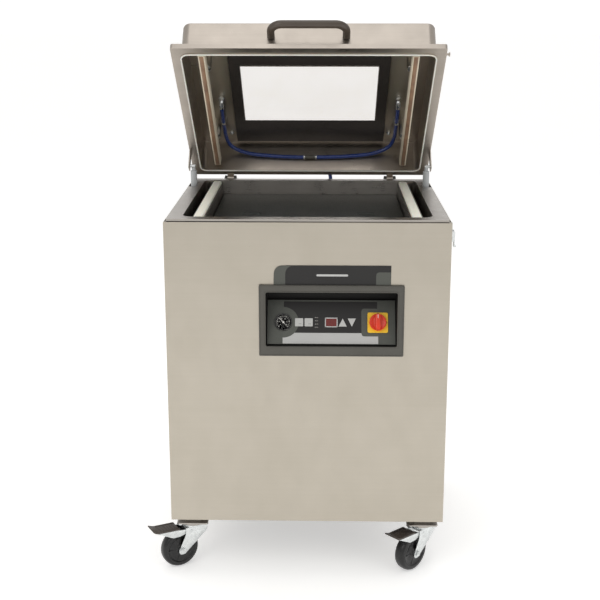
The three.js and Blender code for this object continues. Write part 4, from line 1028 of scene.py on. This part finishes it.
CARRIER_SHEET = 4
CARRIER_UNDER = size_of("bar_carrier_right", LID)[1].z - CARRIER_SHEET
CLIP_R = HOSE_R + 1
clip_z = ROOF_UNDER - 23
clip_top = ROOF_UNDER - 4.5
fittings = Piece("air_fittings", LID)
for _, sign in SIDES:
    x = sign * RUN_X
    elbow = [(x, ELBOW_Y, CARRIER_UNDER), (x, ELBOW_Y, CARRIER_UNDER - 7),
             (x, ELBOW_Y + 1.5, ROOF_UNDER - 16), (x, ELBOW_Y + 5, ROOF_UNDER - 18.5),
             (x, GLAND_Y, ROOF_UNDER - 21)]
    fittings.add("zinc", swept(smooth_path(elbow, 5), 6.2),
                 stand(hexagon(13, 6), (x, ELBOW_Y, CARRIER_UNDER), "-z"),
                 swept([(x, GLAND_Y, ROOF_UNDER - 21), (x, GLAND_Y + 11, ROOF_UNDER - 21.8)], 7, sides=20))
    # A clip holds the hose to the carrier.
    clip = [(-CLIP_R, clip_top), (-CLIP_R, clip_z)]
    clip += [(-CLIP_R * math.cos(turn), clip_z - CLIP_R * math.sin(turn))
             for turn in (0.5, 1.05, 1.57, 2.1, 2.65)]
    clip += [(CLIP_R, clip_z), (CLIP_R, clip_top)]
    clip_path = [(x + across, CLIP_Y, z) for across, z in clip]
    fittings.add("zinc", swept(clip_path, rect(-0.5, 0.5, -4, 4, 0.3, 2)))
    # Nuts on studs hold the carrier to the roof.
    for y in NUTS_Y:
        place = (sign * NUT_X, y, CARRIER_UNDER)
        fittings.add("zinc", stand(hexagon(11, 5.5), place, "-z"), stand(stud(3, 9), place, "-z"))
    # Cylinder glands round the stems of the seal bars.
    for y in CYLINDERS:
        gland = ring_of([(5, 0), (13.5, 0), (13.5, 2.4), (11.5, 3.6), (5, 3.6)], 32)
        fittings.put("zinc", gland, (sign * BAR_X, y, bar_low.z + BAR_DEPTH + 12), "-z")


def on_tee(x0, x1, radius):
    ends = [(x, TEE_Y, ROOF_UNDER - 57) for x in sorted((x0, x1))]
    return swept(ends, radius, sides=20)


fittings.add("bezel_plastic", on_tee(-TEE_HALF, TEE_HALF, 6.4))
fittings.add("zinc", *[on_tee(end, end + math.copysign(4, end), 6.8) for end in (-TEE_HALF, TEE_HALF)])
fittings.made("lid", "zinc")

# Seal bars: pale insulating bar, brown coated tape over the wire, and bright stems.
BAR_HALF = 9
TAPE_HALF = 5.4
for side, _ in SIDES:
    low, high = size_of(f"seal_bar_{side}", LID)
    middle = (low.x + high.x) / 2
    top = low.z + BAR_DEPTH
    stem = high.z - top
    rise = [(BAR_HALF - 2.6, low.z + 0.5), (BAR_HALF, low.z + 3.2), (BAR_HALF, top)]
    body = [(middle - x, z) for x, z in reversed(rise)] + [(middle + x, z) for x, z in rise]
    bar = Piece(f"sealing_bar_{side}", LID)
    bar.add(CREAM, plate(body, low.y, high.y, "xz", 0.6))
    tape = block(middle - TAPE_HALF, middle + TAPE_HALF, low.y + 1.5, high.y - 1.5,
                 low.z, low.z + 1.4, 0.3)
    bar.add("seal_ptfe", tape)
    for y in CYLINDERS:
        bar.put("strut_chrome", rod(4.2, stem, 24), (middle, y, top - 0.5))
    for y in (low.y + 12, high.y - 12):
        bar.put("zinc", hexagon(8, 4), (middle, y, top))
    bar.made(f"seal_bar_{side}", "seal_ptfe", f"seal_bar_{side}")

# Hinge screws and pin heads.
pin_y, pin_z = (ROOT.inverted() @ HINGE).yz
for side, _ in SIDES:
    low, high = size_of(f"hinge_bracket_{side}", ROOT)
    hinge_x = (low.x + high.x) / 2
    caps = Piece(f"hinge_pin_heads_{side}")
    for x, way in ((low.x, "-x"), (high.x, "+x")):
        caps.put("zinc", pan_head(4.6, 2.0), (x, pin_y, pin_z), way)
    for x in (-8, 8):
        caps.put("zinc", pan_head(3.2, 1.8), (hinge_x + x, BACK - 8, TOP + 2))
    caps.made("root", "zinc")

# ------ gas struts
EYE_HALF = 5
EYE = [(5.6, 0), (6.1, 0.6), (6.1, 9.4), (5.6, 10)]
for side, sign in SIDES:
    place = strut_frame(side)
    tube_low, tube_high = size_of(f"strut_tube_{side}", place)
    tube_end = tube_low.z
    rod_top = size_of(f"strut_rod_{side}", place)[1].z
    eye = tube_high.z - 6
    outline = [(AXIS, tube_end + 30), (4.6, tube_end + 30), (4.6, tube_end), (8, tube_end),
               (9, tube_end + 1.4), (9, eye - 15), (8.4, eye - 13), (6, eye - 12),
               (5.2, eye - 11.5), (5.2, eye - 3), (AXIS, eye - 3)]
    wiper = [(4.7, tube_end - 1.2), (6.6, tube_end - 1.2), (7.4, tube_end), (4.7, tube_end)]
    tube = Piece(f"gas_tube_{side}", place)
    tube.add("strut_grey", turned(outline, 40))
    tube.add("hose_black", ring_of(wiper, 32))
    tube.add("zinc", stand(turned([(AXIS, 0), *EYE, (AXIS, 10)], 28), (-EYE_HALF, 0, eye), "+x"),
             stand(rod(4, 9.8, 20), (0, 0, eye), facing(sign, "x")))
    tube.made(f"strut_tube_{side}", "strut_grey", f"strut_tube_{side}")

    collar = [(AXIS, 4.6), (4.6, 4.6), (5.4, 6.5), (5.4, 13), (4.6, 14.5), (AXIS, 14.5)]
    piston = Piece(f"gas_rod_{side}", place)
    piston.add("strut_chrome", turned([(AXIS, 7), (4.2, 7), (4.2, rod_top), (AXIS, rod_top)], 32))
    piston.add("zinc", stand(ring_of([(3.4, 0), *EYE, (3.4, 10)], 28), (-EYE_HALF, 0, 0), "+x"),
               turned(collar, 28))
    piston.made(f"strut_rod_{side}", "strut_chrome", f"strut_rod_{side}")

    # Bright bracket and bolt on the lid's lug, at the strut's upper pivot.
    foot = ROOT.inverted() @ place.translation
    head = LID.inverted() @ (place @ Vector((0, 0, eye)))
    reach = abs(tube_high.x if sign > 0 else tube_low.x)
    lug_face = sign * (reach + abs(foot.x) + 3.3)
    back, front = lug_face + sign * 0.05, lug_face + sign * 0.6
    shape = rect(head.y - 11, head.y + 11, head.z - 8, RIM + RIM_HEIGHT - LID_SHEET, 5)
    bracket = Piece(f"strut_bracket_{side}", LID)
    bracket.add("zinc", plate(shape, back, front, "yz", 0.15))
    bracket.put("zinc", hexagon(13, 1.2), (front, head.y, head.z), facing(sign, "x"))
    for y in (head.y - 5.5, head.y + 5.5):
        bracket.put("zinc", hexagon(7, 1.2), (front, y, RIM + 6), facing(sign, "x"))
    bracket.made("lid", "zinc")

    clip_profile = [(AXIS, 0), (5, 0), (5, 0.8), (3.4, 1.2), (AXIS, 1.2)]
    foot_clip = Piece(f"strut_foot_clip_{side}")
    place = (foot.x - sign * 6.8, foot.y, foot.z)
    foot_clip.put("zinc", turned(clip_profile, 24), place, facing(-sign, "x"))
    foot_clip.made("root", "zinc")

# ------ latch rivets
latch_low, latch_high = size_of("latch_base", ROOT)
latch_y = (latch_low.y + latch_high.y) / 2
rivets = Piece("latch_rivets")
for y in (latch_y - 7.5, latch_y + 7.5):
    rivets.put("zinc", pan_head(2.4, 1.2), (latch_low.x + 1.7, y, latch_low.z + 4.5), "+x")
rivets.made("root", "zinc")

# ------ casters
WHEEL_R, OFFSET = 50, 42
CHEEK_IN, CHEEK_T = 19, 3
CHEEK_OUT = CHEEK_IN + CHEEK_T
HEAD_Z, HEAD_T, HEAD_HALF = 106, 3.4, 31
RACE_TOP = 115.6
PIVOT_X, PIVOT_Z = 16, 99
AXLE = (OFFSET, 0, WHEEL_R)
WAYS = ("+y", "-y")


def wheel_profile():
    """The wheel's section, from the hub out to the rounded tread and back."""
    half = [(6, 17), (11, 17), (12, 15.6), (15, 13.4), (33, 12.6), (35.4, 14.2), (36.2, 15.6),
            (39.4, 15.7), (40.2, 15.0), (41.6, 15.0), (44.5, 14.4), (47.2, 12.4), (49.2, 8.6), (49.9, 4.2)]
    return half + [(WHEEL_R, 0)] + [(radius, -across) for radius, across in reversed(half)]


def caster_wheel(corner, place):
    wheel = Piece(f"wheel_{corner}", place)
    wheel.put("wheel_rubber", ring_of(wheel_profile(), 72), AXLE, "+y")
    for turn in turns(5):
        for way in WAYS:
            rib = block(14, 33, -1.6, 1.6, 12.2, 13.8, 0.5)
            rib.transform(Matrix.Rotation(turn, 4, "Z"))
            wheel.put("wheel_rubber", rib, AXLE, way)
    for way in WAYS:
        bush = ring_of([(5.6, 16.4), (8.6, 16.4), (8.6, 17.8), (5.6, 17.8)], 28)
        wheel.put("zinc", bush, AXLE, way)
    wheel.made(f"wheel_{corner}", "wheel_rubber", f"caster_wheel_{corner}", smooth=40)


def caster_fork(corner, place):
    """Two cheeks under a head plate, with the axle, its nuts and the ball race."""
    outline = [(-HEAD_HALF, HEAD_Z + HEAD_T), (-HEAD_HALF, 92), (OFFSET - 13, WHEEL_R - 7),
               (OFFSET - 7, WHEEL_R - 13), (OFFSET + 6, WHEEL_R - 13), (OFFSET + 11, WHEEL_R - 3),
               (HEAD_HALF, 92), (HEAD_HALF, HEAD_Z + HEAD_T)]
    cheek = rounded(outline, [4, 16, 10, 7, 7, 10, 16, 4])
    washer = [(AXIS, 0), (9.6, 0), (9.6, 0.9), (9, 1.3), (AXIS, 1.3)]
    race = [(AXIS, HEAD_Z + 3), (29, HEAD_Z + 3), (HEAD_HALF, HEAD_Z + 4.4), (HEAD_HALF, 114),
            (29.4, RACE_TOP), (AXIS, RACE_TOP)]
    fork = Piece(f"fork_{corner}", place)
    for sign in (-1, 1):
        outside = sign * CHEEK_OUT
        way = facing(sign, "y")
        fork.add("zinc", plate(cheek, sign * CHEEK_IN, outside, "xz", 0.9),
                 stand(turned(washer, 32), (OFFSET, outside, WHEEL_R), way),
                 stand(hexagon(13, 4.6), (OFFSET, outside + sign * 1.2, WHEEL_R), way),
                 stand(stud(3.2, 6.4), (OFFSET, outside + sign, WHEEL_R), way),
                 stand(pan_head(3.4, 1.6), (PIVOT_X, outside, PIVOT_Z), way))
    axle_half = CHEEK_IN + 1
    fork.add("zinc", block(-HEAD_HALF, HEAD_HALF, -CHEEK_OUT, CHEEK_OUT, HEAD_Z, HEAD_Z + HEAD_T, 1.2),
             stand(rod(4.8, 2 * axle_half, 24), (OFFSET, -axle_half, WHEEL_R), "+y"),
             turned(race, 48), stand(hexagon(19, 6), (0, 0, HEAD_Z), "-z"))
    fork.made(f"caster_{corner}", "zinc", f"caster_fork_{corner}")


def brake_pedal(corner, place):
    """A zinc stirrup and the brown cap on it, which has an upturned lip and raised bars."""
    arm = CHEEK_IN - 0.4
    arm_outline = rounded([(11, 95), (22, 94), (46, 88), (66, 88), (100, 106), (108, 109.6),
                           (52, 106), (34, 104), (12, 104)], 2.5, 3)
    tray = [(50, 106), (106, 109.8), (106, 111.2), (50, 107.6)]
    cap = [(49, 107.8), (106, 111.2), (114, 113), (121.5, 118.4), (119.4, 121), (112, 117.6),
           (104, 115.4), (49, 112.6)]
    side_bar = [(52, 112.2), (102, 114.8), (102, 116.2), (52, 114)]
    pedal = Piece(f"pedal_{corner}", place)
    for sign in (-1, 1):
        pedal.add("zinc", plate(arm_outline, sign * (arm - 1.6), sign * arm, "xz", 0.3))
    pedal.add("zinc", plate(tray, -arm, arm, "xz", 0.3),
              stand(rod(2.4, 2 * arm, 16), (PIVOT_X, -arm, PIVOT_Z), "+y"))
    cap_outline = rounded(cap, [1, 2, 4, 2, 2, 4, 3, 1.5], 4)
    pedal.add("pedal_brown", plate(cap_outline, -21, 21, "xz", 1.3))
    for bar_x in range(58, 99, 8):
        # The cap's top rises 2.8 mm over its 55 mm.
        height = 112.6 + (bar_x - 49) * 2.8 / 55
        pedal.add("pedal_brown", block(bar_x - 1.2, bar_x + 1.2, -14, 14, height - 0.5, height + 1, 0.4))
    for sign in (-1, 1):
        pedal.add("pedal_brown", plate(side_bar, sign * 15.5, sign * 18, "xz", 0.4))
    pedal.made(f"pedal_{corner}", "pedal_brown", f"brake_pedal_{corner}")


for corner in CORNERS:
    frame_of = caster_frame(corner)
    caster_wheel(corner, frame_of)
    caster_fork(corner, frame_of)
    if corner.startswith("front"):
        brake_pedal(corner, frame_of)

PLATE_UNDER = 124
bolts = Piece("caster_plate_bolts")
for corner in CORNERS:
    swivel = ROOT.inverted() @ joint_place(f"swivel_{corner}")
    centre_x = swivel.x - math.copysign(2, swivel.x)
    for x in (-32, 32):
        for y in (-33, 33):
            place = (centre_x + x, swivel.y + y, PLATE_UNDER)
            bolts.add("zinc", stand(hexagon(11, 5.2), place, "-z"), stand(rod(9, 1.2, 28), place, "-z"))
bolts.made("root", "zinc")

# Air line from the cabinet to the lid's back wall.
FEED_X = 52
wall = ROOT.inverted() @ LID @ Vector((FEED_X - 6, 567, 985))
feed = [(FEED_X + 8, 609, 926), (FEED_X + 8, 612, 938), (FEED_X + 5, 621, 958), (FEED_X - 1, 620, 980),
        (wall.x, wall.y + 8, wall.z - 6), tuple(wall)]
feed_hose = bpy.data.objects.new("lid_feed_hose", bpy.data.meshes.new("lid_feed_hose"))
hose_shape = swept(smooth_path(feed), HOSE_R)
hose_shape.to_mesh(feed_hose.data)
hose_shape.free()
feed_hose.data.transform(ROOT)
feed_hose.data.materials.append(LOOKS["hose_blue"])
feed_hose.data.shade_smooth()
bpy.context.scene.collection.objects.link(feed_hose)
ROOT @ Vector(feed[0])
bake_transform(feed_hose)


# ------ floor and light
def soft_light(name, place, aim, width, height, power, tint=(1, 1, 1)):
    data = bpy.data.lights.new(name, "AREA")
    data.shape = "RECTANGLE"
    data.size = width
    data.size_y = height
    data.energy = power
    data.color = tint
    light = bpy.data.objects.new(name, data)
    light.location = place
    light.rotation_euler = (Vector(aim) - Vector(place)).to_track_quat("-Z", "Y").to_euler()
    bpy.context.scene.collection.objects.link(light)


FLOOR_HALF = 40
floor_mesh = bpy.data.meshes.new("floor")
floor_corners = rect(-FLOOR_HALF, FLOOR_HALF, -FLOOR_HALF, FLOOR_HALF)
floor_mesh.from_pydata([(x, y, 0) for x, y in floor_corners], [], [(0, 1, 2, 3)])
floor = bpy.data.objects.new("floor", floor_mesh)
bpy.context.scene.collection.objects.link(floor)
floor_look = Look("floor_paper", 0.75)
floor_look.set("Emission Strength", 0.42)
floor_look.set("Emission Color", (1, 1, 1, 1))
floor_look.set("Base Color", floor_look.drift(3, (0.88, 0.88, 0.87, 1), (0.9, 0.9, 0.89, 1)))
floor_mesh.materials.append(floor_look.material)

world = bpy.data.worlds.new("studio")
world.use_nodes = True
backdrop = world.node_tree.nodes["Background"]
backdrop.inputs["Color"].default_value = (1, 0.99, 0.98, 1)
# The backdrop lights the machine a little less than it shows behind it.
paths = world.node_tree.nodes.new("ShaderNodeLightPath")
shows = world.node_tree.nodes.new("ShaderNodeMath")
shows.operation = "MAXIMUM"
world.node_tree.links.new(paths.outputs["Is Camera Ray"], shows.inputs[0])
world.node_tree.links.new(paths.outputs["Is Transmission Ray"], shows.inputs[1])
strength = world.node_tree.nodes.new("ShaderNodeMapRange")
strength.inputs["To Min"].default_value = 0.66
strength.inputs["To Max"].default_value = 1.08
world.node_tree.links.new(shows.outputs["Value"], strength.inputs["Value"])
world.node_tree.links.new(strength.outputs["Result"], backdrop.inputs["Strength"])
bpy.context.scene.world = world

MIDDLE = (0, 0, 0.7)
soft_light("key", (-1.8, -2.6, 3.0), MIDDLE, 2.2, 2.2, 32, (1, 0.99, 0.97))
soft_light("fill", (2.6, -2.2, 1.6), MIDDLE, 1.8, 1.8, 10)
soft_light("top", (0, 0, 3.4), (0, 0, 0.9), 2.0, 2.0, 12)
soft_light("back", (0, 2.6, 2.6), (0, 0, 0.9), 2.4, 1.8, 10)
